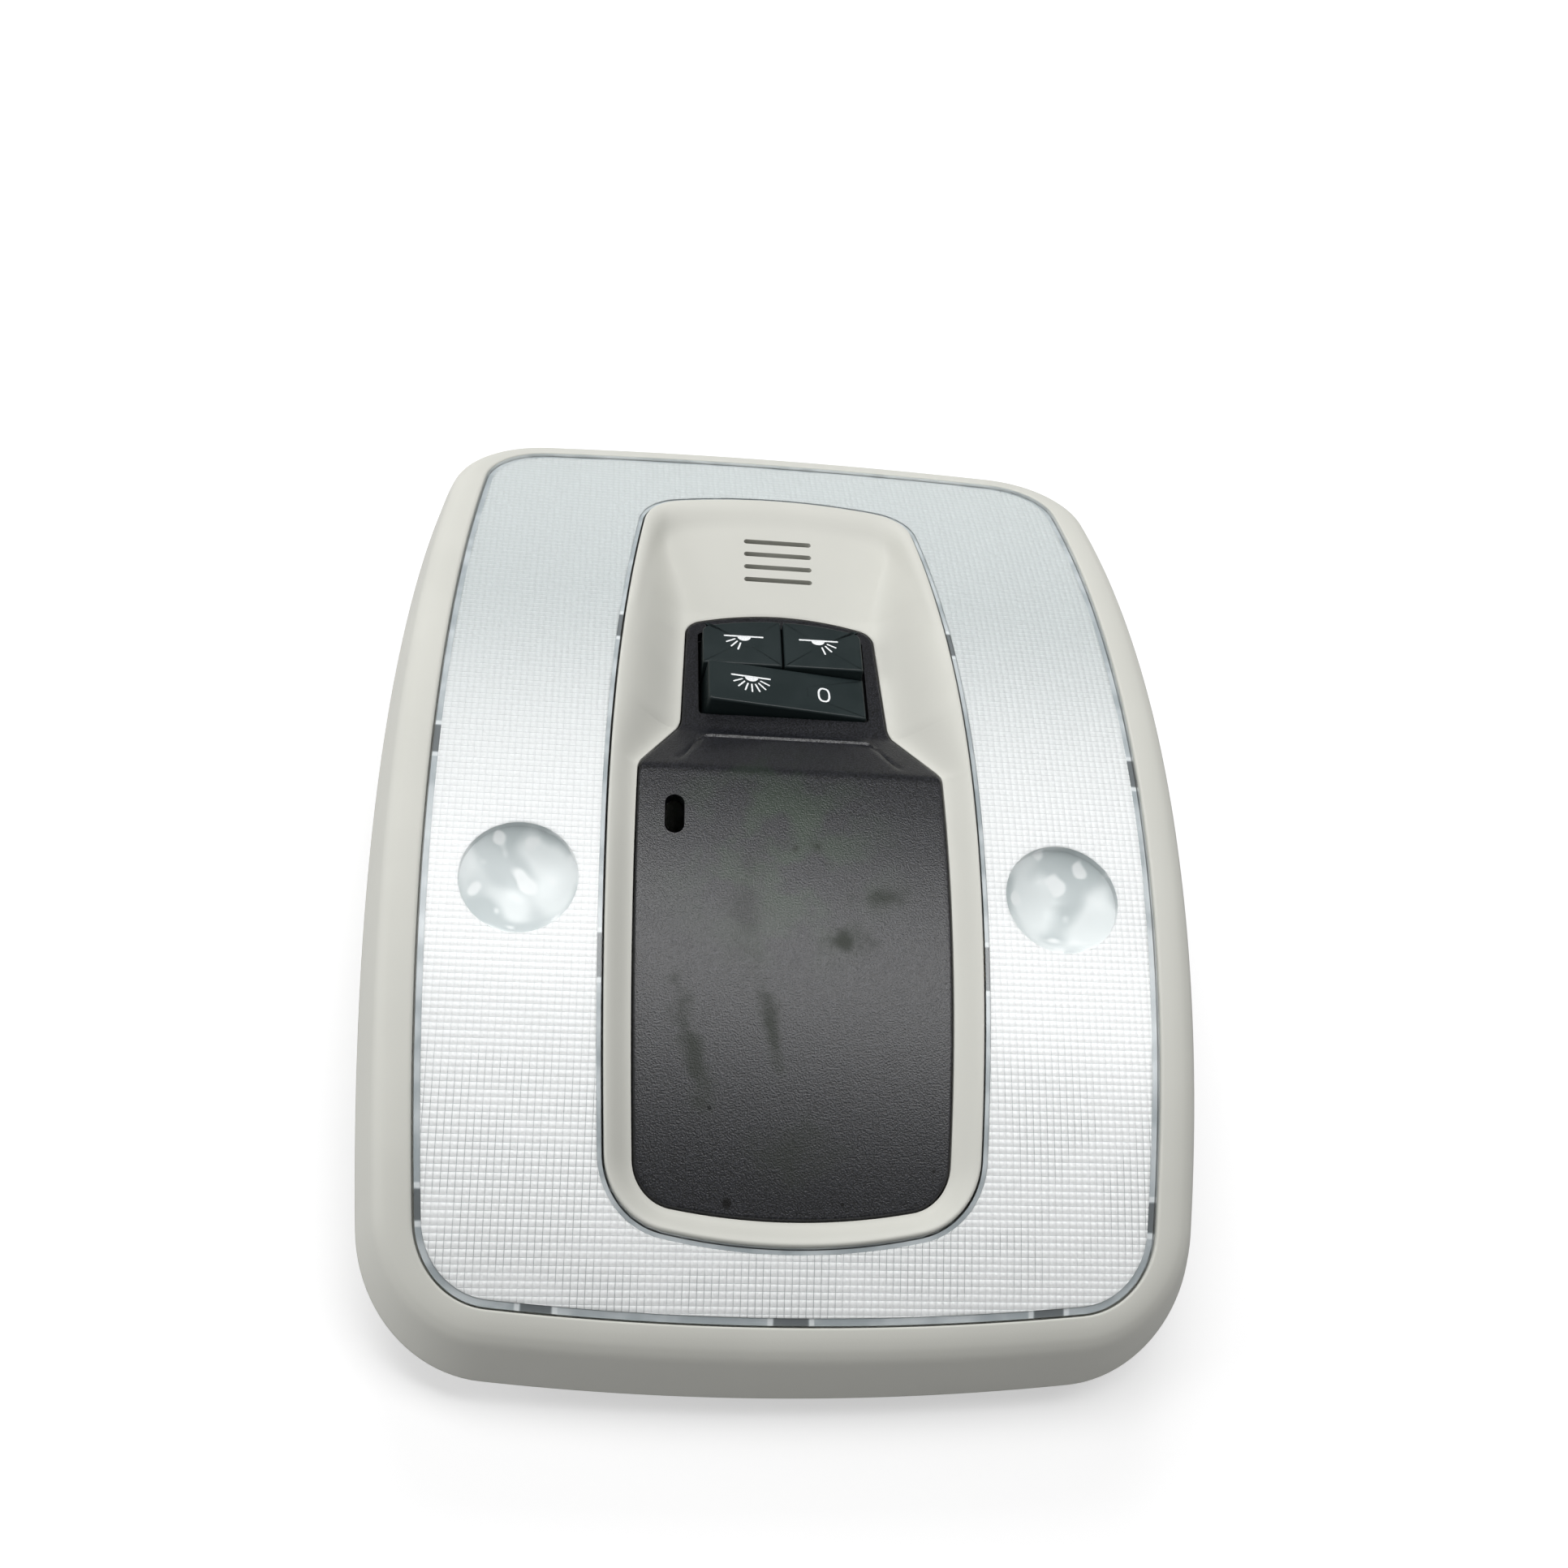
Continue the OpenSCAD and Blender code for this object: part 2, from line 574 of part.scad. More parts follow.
// Switch blocks and their board
block_h = 5;
plunger_d = 3.4;
module switch_block(s) {
    color([0.25, 0.25, 0.27]) on_field() translate([s * keys_half_w / 2, stem_y, -board_sink])
        difference() {
            translate([-5, -5, 0]) cube([10, 10, block_h]);
            translate([0, 0, 0.8]) cylinder(r = plunger_d / 2 + running, h = block_h);
        }
}
module plunger(s) {
    color([0.8, 0.3, 0.2]) on_field() translate([s * keys_half_w / 2, stem_y, 0])
        translate([0, 0, -board_sink + 2.6])
            cylinder(d = plunger_d, h = board_sink - 2.6 - stem_end);
}
module left_switch() { switch_block(-1); }
module right_switch() { switch_block(1); }
module left_plunger() { plunger(-1); }
module right_plunger() { plunger(1); }
module rocker_switch() {
    color([0.25, 0.25, 0.27]) on_field() translate([0, rocker_y, -board_sink]) difference() {
        translate([-7, -4, 0]) cube([14, 8, 6.4]);
        translate([-4, -2, 4]) cube([8, 4, 5]);
    }
}
module switch_board() {
    color([0.1, 0.35, 0.2]) on_field() difference() {
        translate([-switch_board_w / 2, switch_board_near, -board_sink - board_t])
            cube([switch_board_w, switch_board_l, board_t]);
        for (p = standoff_at) translate([p[0], p[1], -board_sink - board_t - 1])
            cylinder(d = 2.4, h = board_t + 2);
    }
}
board_t = 1.6;
switch_board_w = 36;
switch_board_l = 28;
switch_board_near = -15;
main_board_z = 13;
main_board_w = 52;
main_board_l = 80;
main_board_near = -76;
link_w = 16;
link_end = 3;
stand_at = [[-21, -34], [21, -34], [-12, 1], [12, 1]];
module main_board() {
    color([0.1, 0.35, 0.2]) difference() {
        translate([-main_board_w / 2, main_board_near, main_board_z])
            cube([main_board_w, main_board_l, board_t]);
        for (p = boss_at) translate([p[0], p[1], main_board_z - 1])
            cylinder(d = post_d + 1, h = 4);
    }
}
module board_link() {
    z = main_board_z + board_t;
    edge = main_board_near + main_board_l + 0.5;
    near = field_point(switch_board_near, -board_sink);
    end = near + link_end * [cos(field_tilt), -sin(field_tilt)];
    color([0.85, 0.83, 0.75]) rotate([90, 0, 90]) linear_extrude(height = link_w, center = true)
        polygon([[edge - 8, z], [edge, z], [near[0] - 0.5, near[1]], near, end, end + [0, 0.3],
            near + [-0.5, 0.3], [edge, z + 0.3], [edge - 8, z + 0.3]]);
}
socket_y = -40;
socket_w = 26;
socket_l = 12;
pin_low_z = 5.6;
module connector_socket() {
    color([0.1, 0.1, 0.1]) translate([0, socket_y, 0]) difference() {
        translate([-socket_w / 2, -socket_l / 2, 0.6])
            cube([socket_w, socket_l, main_board_z - 0.6]);
        translate([-socket_w / 2 + 1.6, -socket_l / 2 + 1.6, -1])
            cube([socket_w - 3.2, socket_l - 3.2, 10]);
    }
}
module connector_pins() {
    color([0.85, 0.7, 0.3]) for (i = [0 : 4], j = [-1, 1])
        translate([-8 + i * 4 - 0.3, socket_y + j * 2 - 0.3, pin_low_z])
            cube([0.6, 0.6, main_board_z + board_t + 1 - pin_low_z]);
}

// Rear housing: a deep middle box with a lamp chamber round it, floor ribs and vents
rib_at = [-62, -4, 22, 58];
rib_w = 24;
rib_t = 1.6;
rib_h = 3;
vent_l = 18;
vent_w = 2;
vent_pitch = 4.2;
function housing_outline(g = 0) = lens_outline(-0.6 + g);
function housing_x(y) = lens_half_w - 0.6 - side_r + sqrt(side_r * side_r - y * y);
module under_ledge() { under_crown(lens_t + lens_gap + ledge_t + housing_gap); }
module rear_housing() {
    holder_d = 16.4;
    color([0.9, 0.9, 0.88]) difference() {
        union() {
            intersection() {
                linear_extrude(height = overall_h) polygon(housing_outline());
                under_ledge();
                translate([0, 0, overall_h / 2 + chamber_z]) cube([200, 240, overall_h], center = true);
            }
            linear_extrude(height = chamber_z + 1) polygon(trim_outline(1));
        }
        difference() {
            translate([0, 0, chamber_z + housing_wall]) linear_extrude(height = overall_h)
                polygon(housing_outline(-housing_wall));
            difference() {
                intersection() {
                    linear_extrude(height = overall_h) polygon(trim_outline(-0.2));
                    under_crown(trim_skirt + 0.2);
                }
                linear_extrude(height = overall_h) polygon(trim_outline(-0.2 - housing_wall));
            }
        }
        translate([0, 0, housing_wall]) linear_extrude(height = overall_h)
            polygon(trim_outline(-0.2 - housing_wall));
        translate([-socket_w / 2 - 0.3, socket_y - socket_l / 2 - 0.3, -1])
            cube([socket_w + 0.6, socket_l + 0.6, 5]);
        for (s = [-1, 1]) translate([s * eye_x, eye_y, 0]) cylinder(d = holder_d, h = chamber_z + 5);
        for (p = boss_at) translate([p[0], p[1], -1]) cylinder(d = screw_head_d + 0.6, h = 8);
        for (p = hook_at) mirror([p[1] < 0 ? 1 : 0, 0, 0])
            translate([hook_x(p[0]), p[0] - hook_w / 2 - 0.5, crown_z(p[0], lens_skirt + 0.5)])
                cube([ledge_w + 1, hook_w + 1, 10]);
        for (s = [-1, 1], i = [-1 : 1])
            translate([s * eye_x + i * vent_pitch, festoon_y, chamber_z - 1])
                linear_extrude(height = housing_wall + 2) rotate(90) round_slot(vent_l, vent_w);
    }
    color([0.9, 0.9, 0.88]) for (y = rib_at, s = [0, 1]) mirror([s, 0, 0])
        translate([trim_half_w - 1, y, chamber_z]) rotate([90, 0, 0])
            linear_extrude(height = rib_t, center = true)
                polygon([[0, -rib_h], [rib_w - rib_h, -rib_h], [rib_w, 0.5], [0, 0.5]]);
    color([0.9, 0.9, 0.88]) {
        for (p = boss_at) translate([p[0], p[1], 0]) difference() {
            translate([0, 0, housing_wall - 0.5])
                cylinder(d = post_d, h = post_top_z - 0.2 - housing_wall + 0.5);
            cylinder(d = boss_screw_d + 0.6, h = 40);
            translate([0, 0, -1]) cylinder(d = screw_head_d + 0.6, h = screw_seat_z + 1);
        }
        for (p = stand_at) translate([p[0], p[1], housing_wall - 0.5])
            cylinder(d = 5, h = main_board_z - housing_wall + 0.5);
    }
}

// Reading lights
reflector_low = chamber_z + housing_wall + 0.3;
neck_r = 7.2;
reflector_clear = 5.25;
reflector_r = lens_side_w / 2 - reflector_clear;
reflector_t = 1;
function bowl(t) = neck_r + (reflector_r - neck_r) * sqrt(t);
module reflector(s) {
    h = overall_h - reflector_low;
    n = 14;
    inner = [for (i = [0 : n]) [bowl(i / n), h * i / n]];
    color([0.85, 0.86, 0.88]) intersection() {
        translate([s * eye_x, eye_y, reflector_low]) rotate_extrude($fn = 96)
            polygon(concat(inner, [for (i = [n : -1 : 0]) inner[i] + [reflector_t, 0]]));
        under_crown(lens_t + lens_gap);
    }
}
module left_reflector() { reflector(-1); }
module right_reflector() { reflector(1); }
bulb_foot_d = 6;
bulb_l = 23;
module reading_bulb(s) {
    r = bulb_d / 2;
    color([0.9, 0.9, 0.92, 0.5]) translate([s * eye_x, eye_y, chamber_z + 1]) rotate_extrude()
        polygon(concat([[0, 0], [bulb_foot_d / 2, 0], [bulb_foot_d / 2, 6], [r - 0.3, 9], [r, 11]],
            arc([0, bulb_l - r], r, 0, 90, 8), [[0, bulb_l]]));
}
module left_reading_bulb() { reading_bulb(-1); }
module right_reading_bulb() { reading_bulb(1); }
module bulb_holder(s) {
    color([0.3, 0.3, 0.32]) translate([s * eye_x, eye_y, 0]) difference() {
        union() {
            translate([0, 0, 0.4]) cylinder(d = 19, h = chamber_z - 0.4);
            translate([0, 0, chamber_z - 1]) cylinder(d = 13.6, h = 5.5);
            translate([-2, -9, 0.4]) cube([4, 18, 3]);
        }
        translate([0, 0, chamber_z + 0.8]) cylinder(d = bulb_foot_d + 0.4, h = chamber_z);
    }
}
module left_bulb_holder() { bulb_holder(-1); }
module right_bulb_holder() { bulb_holder(1); }

// Courtesy lamps
festoon_z = chamber_z + housing_wall + 9;
module courtesy_bulb(s) {
    half = festoon_l / 2;
    color([0.9, 0.9, 0.92]) translate([s * eye_x, festoon_y, festoon_z]) rotate([90, 0, 0])
        rotate_extrude() polygon([[0, -half], [1.2, -half + 1], [3.2, -half + 2.4],
            [3.2, -half + 6.5], [festoon_d / 2 - 1, -half + 8], [festoon_d / 2, -half + 10],
            [festoon_d / 2, half - 10], [festoon_d / 2 - 1, half - 8], [3.2, half - 6.5],
            [3.2, half - 2.4], [1.2, half - 1], [0, half]]);
}
module left_courtesy_bulb() { courtesy_bulb(-1); }
module right_courtesy_bulb() { courtesy_bulb(1); }
module bulb_contacts() {
    color([0.8, 0.65, 0.35]) for (s = [-1, 1], e = [-1, 1])
        translate([s * eye_x, festoon_y + e * (festoon_l / 2 + 0.7), chamber_z + housing_wall])
            difference() {
                translate([-4, -0.3, 0]) cube([8, 0.6, 13]);
                translate([0, 0, 9]) rotate([90, 0, 0]) cylinder(d = 2, h = 4, center = true);
            }
}
module contact_strips() {
    color([0.8, 0.65, 0.35]) for (s = [-1, 1])
        translate([s * (eye_x - 11.5) - 2, eye_y - 4, chamber_z + housing_wall])
            cube([4, festoon_y - eye_y + 20, 0.8]);
}

// Microphone behind the slots
mic_y = slot_first_y + (slot_n - 1) * slot_pitch / 2;
mic_d = 9.7;
boot_h = 6;
boot_floor = 1.2;
mic_z = floor_z(mic_y) - trim_t - boot_h - 0.3;
module microphone_boot() {
    color([0.12, 0.12, 0.12]) translate([0, mic_y, mic_z]) difference() {
        cylinder(d = mic_d + 4.8, h = boot_h);
        translate([0, 0, boot_floor]) cylinder(d = mic_d + 0.1, h = boot_h);
    }
}
module microphone() {
    color([0.7, 0.7, 0.72]) translate([0, mic_y, mic_z + boot_floor]) cylinder(d = mic_d, h = 4.5);
}

// Fasteners
clip_y = 52;
clip_w = 12;
module roof_clips() {
    color([0.6, 0.62, 0.65]) for (s = [0, 1], y = [-clip_y, clip_y]) mirror([s, 0, 0])
        translate([housing_x(y) + 0.05, y, chamber_z + 3]) rotate([90, 0, asin(y / side_r)])
            linear_extrude(height = clip_w, center = true)
                polygon([[0, 0], [0.8, 0], [5, 9], [1.6, 14], [1, 13.6], [4, 9], [0.8, 2.4],
                    [0.8, 14], [0, 14]]);
}
module screw(d, l, head) {
    cylinder(d = d, h = l);
    translate([0, 0, -1.6]) cylinder(d = head, h = 1.6);
}
module panel_screws() {
    color([0.5, 0.5, 0.52]) for (p = boss_at) translate([p[0], p[1], screw_seat_z])
        screw(boss_screw_d, screw_web + screw_bite, screw_head_d);
}
module board_screws() {
    color([0.5, 0.5, 0.52]) on_field() for (p = standoff_at)
        translate([p[0], p[1], -board_sink - board_t]) screw(1.9, 6, 3.8);
}

bezel();
lens();
console_trim();
switch_panel();
left_key();
right_key();
rocker();
rocker_shaft();
switch_housing();
left_plunger();
right_plunger();
left_switch();
right_switch();
rocker_switch();
switch_board();
main_board();
board_link();
connector_socket();
connector_pins();
rear_housing();
left_reflector();
right_reflector();
left_reading_bulb();
right_reading_bulb();
left_bulb_holder();
right_bulb_holder();
left_courtesy_bulb();
right_courtesy_bulb();
bulb_contacts();
contact_strips();
microphone();
microphone_boot();
roof_clips();
panel_screws();
board_screws();
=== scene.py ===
import json
import math

import bmesh
import bpy
import numpy as np
from mathutils import Matrix, Vector
from mathutils.kdtree import KDTree


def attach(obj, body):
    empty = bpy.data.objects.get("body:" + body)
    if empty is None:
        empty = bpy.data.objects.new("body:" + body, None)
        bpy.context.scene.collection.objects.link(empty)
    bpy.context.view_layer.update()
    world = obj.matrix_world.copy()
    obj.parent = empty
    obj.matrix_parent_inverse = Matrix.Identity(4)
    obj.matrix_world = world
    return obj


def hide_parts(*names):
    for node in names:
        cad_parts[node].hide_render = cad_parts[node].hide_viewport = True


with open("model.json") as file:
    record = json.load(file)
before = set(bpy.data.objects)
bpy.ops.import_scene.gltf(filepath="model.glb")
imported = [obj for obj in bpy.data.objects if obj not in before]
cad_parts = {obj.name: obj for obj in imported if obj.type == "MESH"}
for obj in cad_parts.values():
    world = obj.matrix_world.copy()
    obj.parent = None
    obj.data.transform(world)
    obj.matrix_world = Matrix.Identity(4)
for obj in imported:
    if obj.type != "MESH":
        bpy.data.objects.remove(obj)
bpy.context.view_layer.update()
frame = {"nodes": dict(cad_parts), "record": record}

# Sizes in millimetres, the same as the solids'
MM = 0.001
OVERALL_H = 47.0
CROWN_R = 234.4
BEZEL_HALF_W, BEZEL_HALF_L, BEZEL_CORNER_R = 78.3, 105.8, 25.0
BEZEL_DEPTH, BEZEL_WALL = 12.2, 2.0
LENS_HALF_W, LENS_HALF_L, LENS_CORNER_R = 67.7, 97.6, 14.0
LENS_T, LENS_GAP, LEDGE_W, LEDGE_T = 2.2, 0.3, 3.0, 1.8
EYE_X, EYE_Y, EYE_R = 50.2, -24.0, 10.7
SIDE_R, END_R = 900.0, 580.0
TRIM_HALF_W, TRIM_FAR_Y, TRIM_NEAR_Y, TRIM_WIDE_Y = 34.8, 80.6, -85.7, -10.0
TRIM_T, TRIM_SKIRT, TRIM_SKIRT_T = 2.0, 9.6, 1.4
SLOT_N, SLOT_PITCH, SLOT_W, SLOT_H, SLOT_FIRST_Y = 4, 3.45, 14.8, 1.2, 58.1
PANEL_HALF_W, PANEL_NEAR_Y, PANEL_WIDE_Y = 29.4, -80.9, -15.0
PANEL_SINK, PANEL_T, PANEL_GAP = 3.0, 2.2, 0.25
NECK_NEAR_HALF_W, NECK_FAR_HALF_W, NECK_FAR_Y = 20.8, 19.8, 48.2
NECK_CORNER_R, NECK_END_R = 4.0, 56.0
SHOULDER_NEAR_Y, SHOULDER_FAR_Y = 2.4, 16.6
RAMP_NEAR_Y, RAMP_FAR_Y = 2.0, 15.5
FIELD_TILT, FIELD_SINK, FIELD_Y = math.radians(7.83), 12.83, 33.0
RELEASE_SLOT_L, RELEASE_SLOT_W, RELEASE_SLOT_AT = 8.2, 3.7, (-22.3, -8.6)
WELL_HALF_W, WELL_NEAR, WELL_FAR_GAP = 17.4, -13.4, 0.7
KEYS_HALF_W, KEYS_FAR, KEYS_ARCH_R, KEY_GAP, KEY_RISE = 16.6, 11.2, 58.0, 0.45, 2.9
ROCKER_L, ROCKER_TILT, SHAFT_SINK = 10.8, math.radians(6.6), 3.0
ROCKER_TOP = KEY_RISE + SHAFT_SINK - 0.4  # above its shaft
KEY_SKIRT = 5.0
TRIM_UP = (TRIM_FAR_Y - TRIM_WIDE_Y, 580.0, 95.0, 9.5)
TRIM_DOWN = (TRIM_WIDE_Y - TRIM_NEAR_Y, 1000.0, 115.0, 13.0)
PANEL_DOWN = (PANEL_WIDE_Y - PANEL_NEAR_Y, 1000.0, 125.0, 8.0)
LENS_EDGE = (LENS_HALF_L, SIDE_R, END_R, LENS_CORNER_R)
BEZEL_EDGE = (BEZEL_HALF_L, SIDE_R, END_R, BEZEL_CORNER_R)

# From below the console's floor to above the crown, for upright cuts
CUT_HEIGHTS = (22, 60)

# Steps along the side, corner and end arc of an outline's quarter
SIDE_STEPS, CORNER_STEPS, END_STEPS = 30, 22, 26


def crown_z(y, depth=0.0):
    """Height of the crowned front, or of the surface a depth below it."""
    return OVERALL_H - CROWN_R + np.sqrt((CROWN_R - depth) ** 2 - np.asarray(y) ** 2)


def ease(w):
    w = np.clip(w, 0, 1)
    return w * w * (3 - 2 * w)


# Bowed outlines made of tangent arcs. An edge e holds the half length and the radii of
# side, end and corner.
def corner_centre(half_w, e):
    ax, by = half_w - e[1], e[0] - e[2]
    d = math.hypot(ax, by)
    ra, rb = e[1] - e[3], e[2] - e[3]
    a = (ra * ra - rb * rb + d * d) / (2 * d)
    h = math.sqrt(ra * ra - a * a)
    ex, ey = -ax / d, by / d
    return ax + a * ex - h * ey, a * ey + h * ex


def arc(c, r, a0, a1, n):
    a = a0 + (a1 - a0) * np.arange(n) / n
    return np.stack([c[0] + r * np.cos(a), c[1] + r * np.sin(a)], 1)


def quarter(half_w, e, g=0.0):
    """From the side's middle to the end's, grown by g."""
    p = corner_centre(half_w, e)
    ax, by = half_w - e[1], e[0] - e[2]
    a1 = math.atan2(p[1], p[0] - ax)
    a2 = math.atan2(p[1] - by, p[0])
    return np.concatenate([
        arc((ax, 0), e[1] + g, 0, a1, SIDE_STEPS),
        arc(p, e[3] + g, a1, a2, CORNER_STEPS),
        arc((0, by), e[2] + g, a2, math.pi / 2, END_STEPS),
        [[0, e[0] + g]],
    ])


def outline(half_w, y0, up, down, g=0.0):
    """Closed outline with its widest line at y0 and an edge for either end."""
    q, p = quarter(half_w, up, g), quarter(half_w, down, g)
    m = np.array([-1, 1])
    return np.concatenate([
        q + [0, y0],
        (q * m)[-2:0:-1] + [0, y0],
        p * [-1, -1] + [0, y0],
        (p * [1, -1])[-2:0:-1] + [0, y0],
    ])


def lens_outline(g=0.0):
    return outline(LENS_HALF_W, 0, LENS_EDGE, LENS_EDGE, g)


def bezel_outline():
    return outline(BEZEL_HALF_W, 0, BEZEL_EDGE, BEZEL_EDGE)


def trim_outline(g=0.0):
    return outline(TRIM_HALF_W, TRIM_WIDE_Y, TRIM_UP, TRIM_DOWN, g)


# Meshes
def add_mesh(name, points, faces, material, smooth=True, uv=None):
    mesh = bpy.data.meshes.new(name)
    mesh.from_pydata((np.asarray(points, float) * MM).tolist(), [], faces)
    mesh.validate()
    mesh.polygons.foreach_set("use_smooth", [smooth] * len(mesh.polygons))
    if uv is not None:
        layer = mesh.uv_layers.new(name="cells")
        loops = np.zeros(len(mesh.loops), int)
        mesh.loops.foreach_get("vertex_index", loops)
        layer.data.foreach_set("uv", np.asarray(uv)[loops].ravel())
    mesh.update()
    piece = bpy.data.objects.new(name, mesh)
    bpy.context.scene.collection.objects.link(piece)
    if material:
        mesh.materials.append(material)
    return piece


def ring_faces(rows, count, close=True):
    """Quads between loops of count points; closed, the last loop joins the first."""
    faces = []
    for k in range(rows if close else rows - 1):
        a, b = k * count, (k + 1) % rows * count
        for i in range(count):
            j = (i + 1) % count
            faces.append((a + i, a + j, b + j, b + i))
    return faces


def ring_piece(name, rows, material):
    """Closed piece skinned over loops of equally many points."""
    return add_mesh(name, np.concatenate(rows), ring_faces(len(rows), len(rows[0])), material)


def sharpen(piece, degrees):
    """Splits the shading at edges sharper than an angle."""
    bm = bmesh.new()
    bm.from_mesh(piece.data)
    limit = math.radians(degrees)
    for edge in bm.edges:
        edge.smooth = len(edge.link_faces) == 2 and edge.calc_face_angle(0) < limit
    bm.to_mesh(piece.data)
    bm.free()


def outward(piece):
    """Turns all faces outward."""
    bm = bmesh.new()
    bm.from_mesh(piece.data)
    bmesh.ops.recalc_face_normals(bm, faces=bm.faces)
    bm.to_mesh(piece.data)
    bm.free()


def cut(piece, *cutters):
    """Takes the cutters away from the piece and removes them."""
    for cutter in cutters:
        step = piece.modifiers.new("cut", "BOOLEAN")
        step.operation, step.solver, step.object = "DIFFERENCE", "EXACT", cutter
        graph = bpy.context.evaluated_depsgraph_get()
        new = bpy.data.meshes.new_from_object(piece.evaluated_get(graph))
        piece.modifiers.clear()
        old, piece.data = piece.data, new
        bpy.data.meshes.remove(old)
        bpy.data.objects.remove(cutter)


def prism(name, points, low, high, material=None):
    """Closed prism over a 2D outline, from one height to another."""
    points = np.asarray(points, float)
    n = len(points)
    rows = [np.column_stack([points, np.full(n, z)]) for z in (low, high)]
    faces = ring_faces(2, n, False) + [tuple(range(n))[::-1], tuple(range(n, 2 * n))]
    return add_mesh(name, np.concatenate(rows), faces, material)


def turned(piece, matrix):
    piece.data.transform(matrix)
    piece.data.update()


def field_matrix():
    """From the switch field's own axes to the part's, in metres."""
    spot = Vector((0, FIELD_Y, OVERALL_H - FIELD_SINK)) * MM
    return Matrix.Translation(spot) @ Matrix.Rotation(-FIELD_TILT, 4, "X")


def rocker_matrix():
    """From the tilted rocker's own axes to the part's, in metres."""
    shaft = Vector((0, ROCKER_Y, -SHAFT_SINK)) * MM
    return field_matrix() @ Matrix.Translation(shaft) @ Matrix.Rotation(ROCKER_TILT, 4, "Y")


ROCKER_Y = WELL_NEAR + KEY_GAP + ROCKER_L / 2
KEY_NEAR = WELL_NEAR + 2 * KEY_GAP + ROCKER_L


# Materials
class Shade:
    """A material's node tree with short names for the nodes it needs."""

    def __init__(self, name):
        self.material = bpy.data.materials.new(name)
        self.material.use_nodes = True
        self.tree = self.material.node_tree
        self.tree.nodes.clear()
        self.out = self.tree.nodes.new("ShaderNodeOutputMaterial")
        self.place = self.tree.nodes.new("ShaderNodeTexCoord").outputs["Object"]

    def node(self, kind, **inputs):
        made = self.tree.nodes.new(kind)
        for key, value in inputs.items():
            self.feed(made, key.replace("_", " "), value)
        return made

    def feed(self, made, key, value):
        socket = made.inputs[int(key)] if key.isdigit() else made.inputs[key]
        if isinstance(value, bpy.types.NodeSocket):
            self.tree.links.new(value, socket)
        else:
            socket.default_value = value

    def math(self, operation, *values):
        made = self.tree.nodes.new("ShaderNodeMath")
        made.operation = operation
        for i, value in enumerate(values):
            self.feed(made, str(i), value)
        return made.outputs[0]

    def noise(self, size_mm, detail=2.0):
        made = self.node("ShaderNodeTexNoise", Scale=1 / (size_mm * MM), Detail=detail)
        self.feed(made, "Vector", self.place)
        return made.outputs["Fac"]

    def ramp(self, value, low, high, to_low=0.0, to_high=1.0):
        """Smooth step from to_low to to_high as the value goes from low to high."""
        made = self.tree.nodes.new("ShaderNodeMapRange")
        made.interpolation_type = "SMOOTHSTEP"
        for key, v in zip(("Value", "From Min", "From Max", "To Min", "To Max"),
                          (value, low, high, to_low, to_high)):
            self.feed(made, key, v)
        return made.outputs["Result"]

    def mix(self, share, a, b):
        """Colour a, or b as the share goes to 1."""
        made = self.tree.nodes.new("ShaderNodeMix")
        made.data_type = "RGBA"
        for key, value in (("0", share), ("6", a), ("7", b)):
            self.feed(made, key, value)
        return made.outputs[2]

    def bump(self, height, strength, distance_mm):
        made = self.node("ShaderNodeBump", Strength=strength, Distance=distance_mm * MM)
        self.feed(made, "Height", height)
        return made.outputs["Normal"]

    def finish(self, shader):
        self.tree.links.new(shader, self.out.inputs["Surface"])
        return self.material


def linear(r, g, b):
    """Colour from screen values of 0 to 255."""
    def one(v):
        v /= 255
        return v / 12.92 if v <= 0.04045 else ((v + 0.055) / 1.055) ** 2.4
    return one(r), one(g), one(b), 1.0


def scaled(colour, k):
    return tuple(min(1.0, c * k) for c in colour[:3]) + (1.0,)


def moulded(name, colour, rough, grain_mm=0.35, grain=0.15, vary=0.04, patch_mm=18.0,
            metallic=0.0, specular=0.5, rough_vary=0.06):
    """Moulded plastic or plain metal: fine grain, slight patches in colour and gloss."""
    s = Shade(name)
    patches = s.noise(patch_mm, 3.0)
    base = s.mix(s.ramp(patches, 0.35, 0.65), scaled(colour, 1 - vary), scaled(colour, 1 + vary))
    p = s.node("ShaderNodeBsdfPrincipled", Base_Color=base, Metallic=metallic)
    s.feed(p, "Specular IOR Level", specular)
    s.feed(p, "Roughness", s.ramp(patches, 0.3, 0.7, rough - rough_vary, rough + rough_vary))
    fine = s.noise(grain_mm, 2.0)
    s.feed(p, "Normal", s.bump(fine, grain, grain_mm * 0.25))
    return s.finish(p.outputs[0])


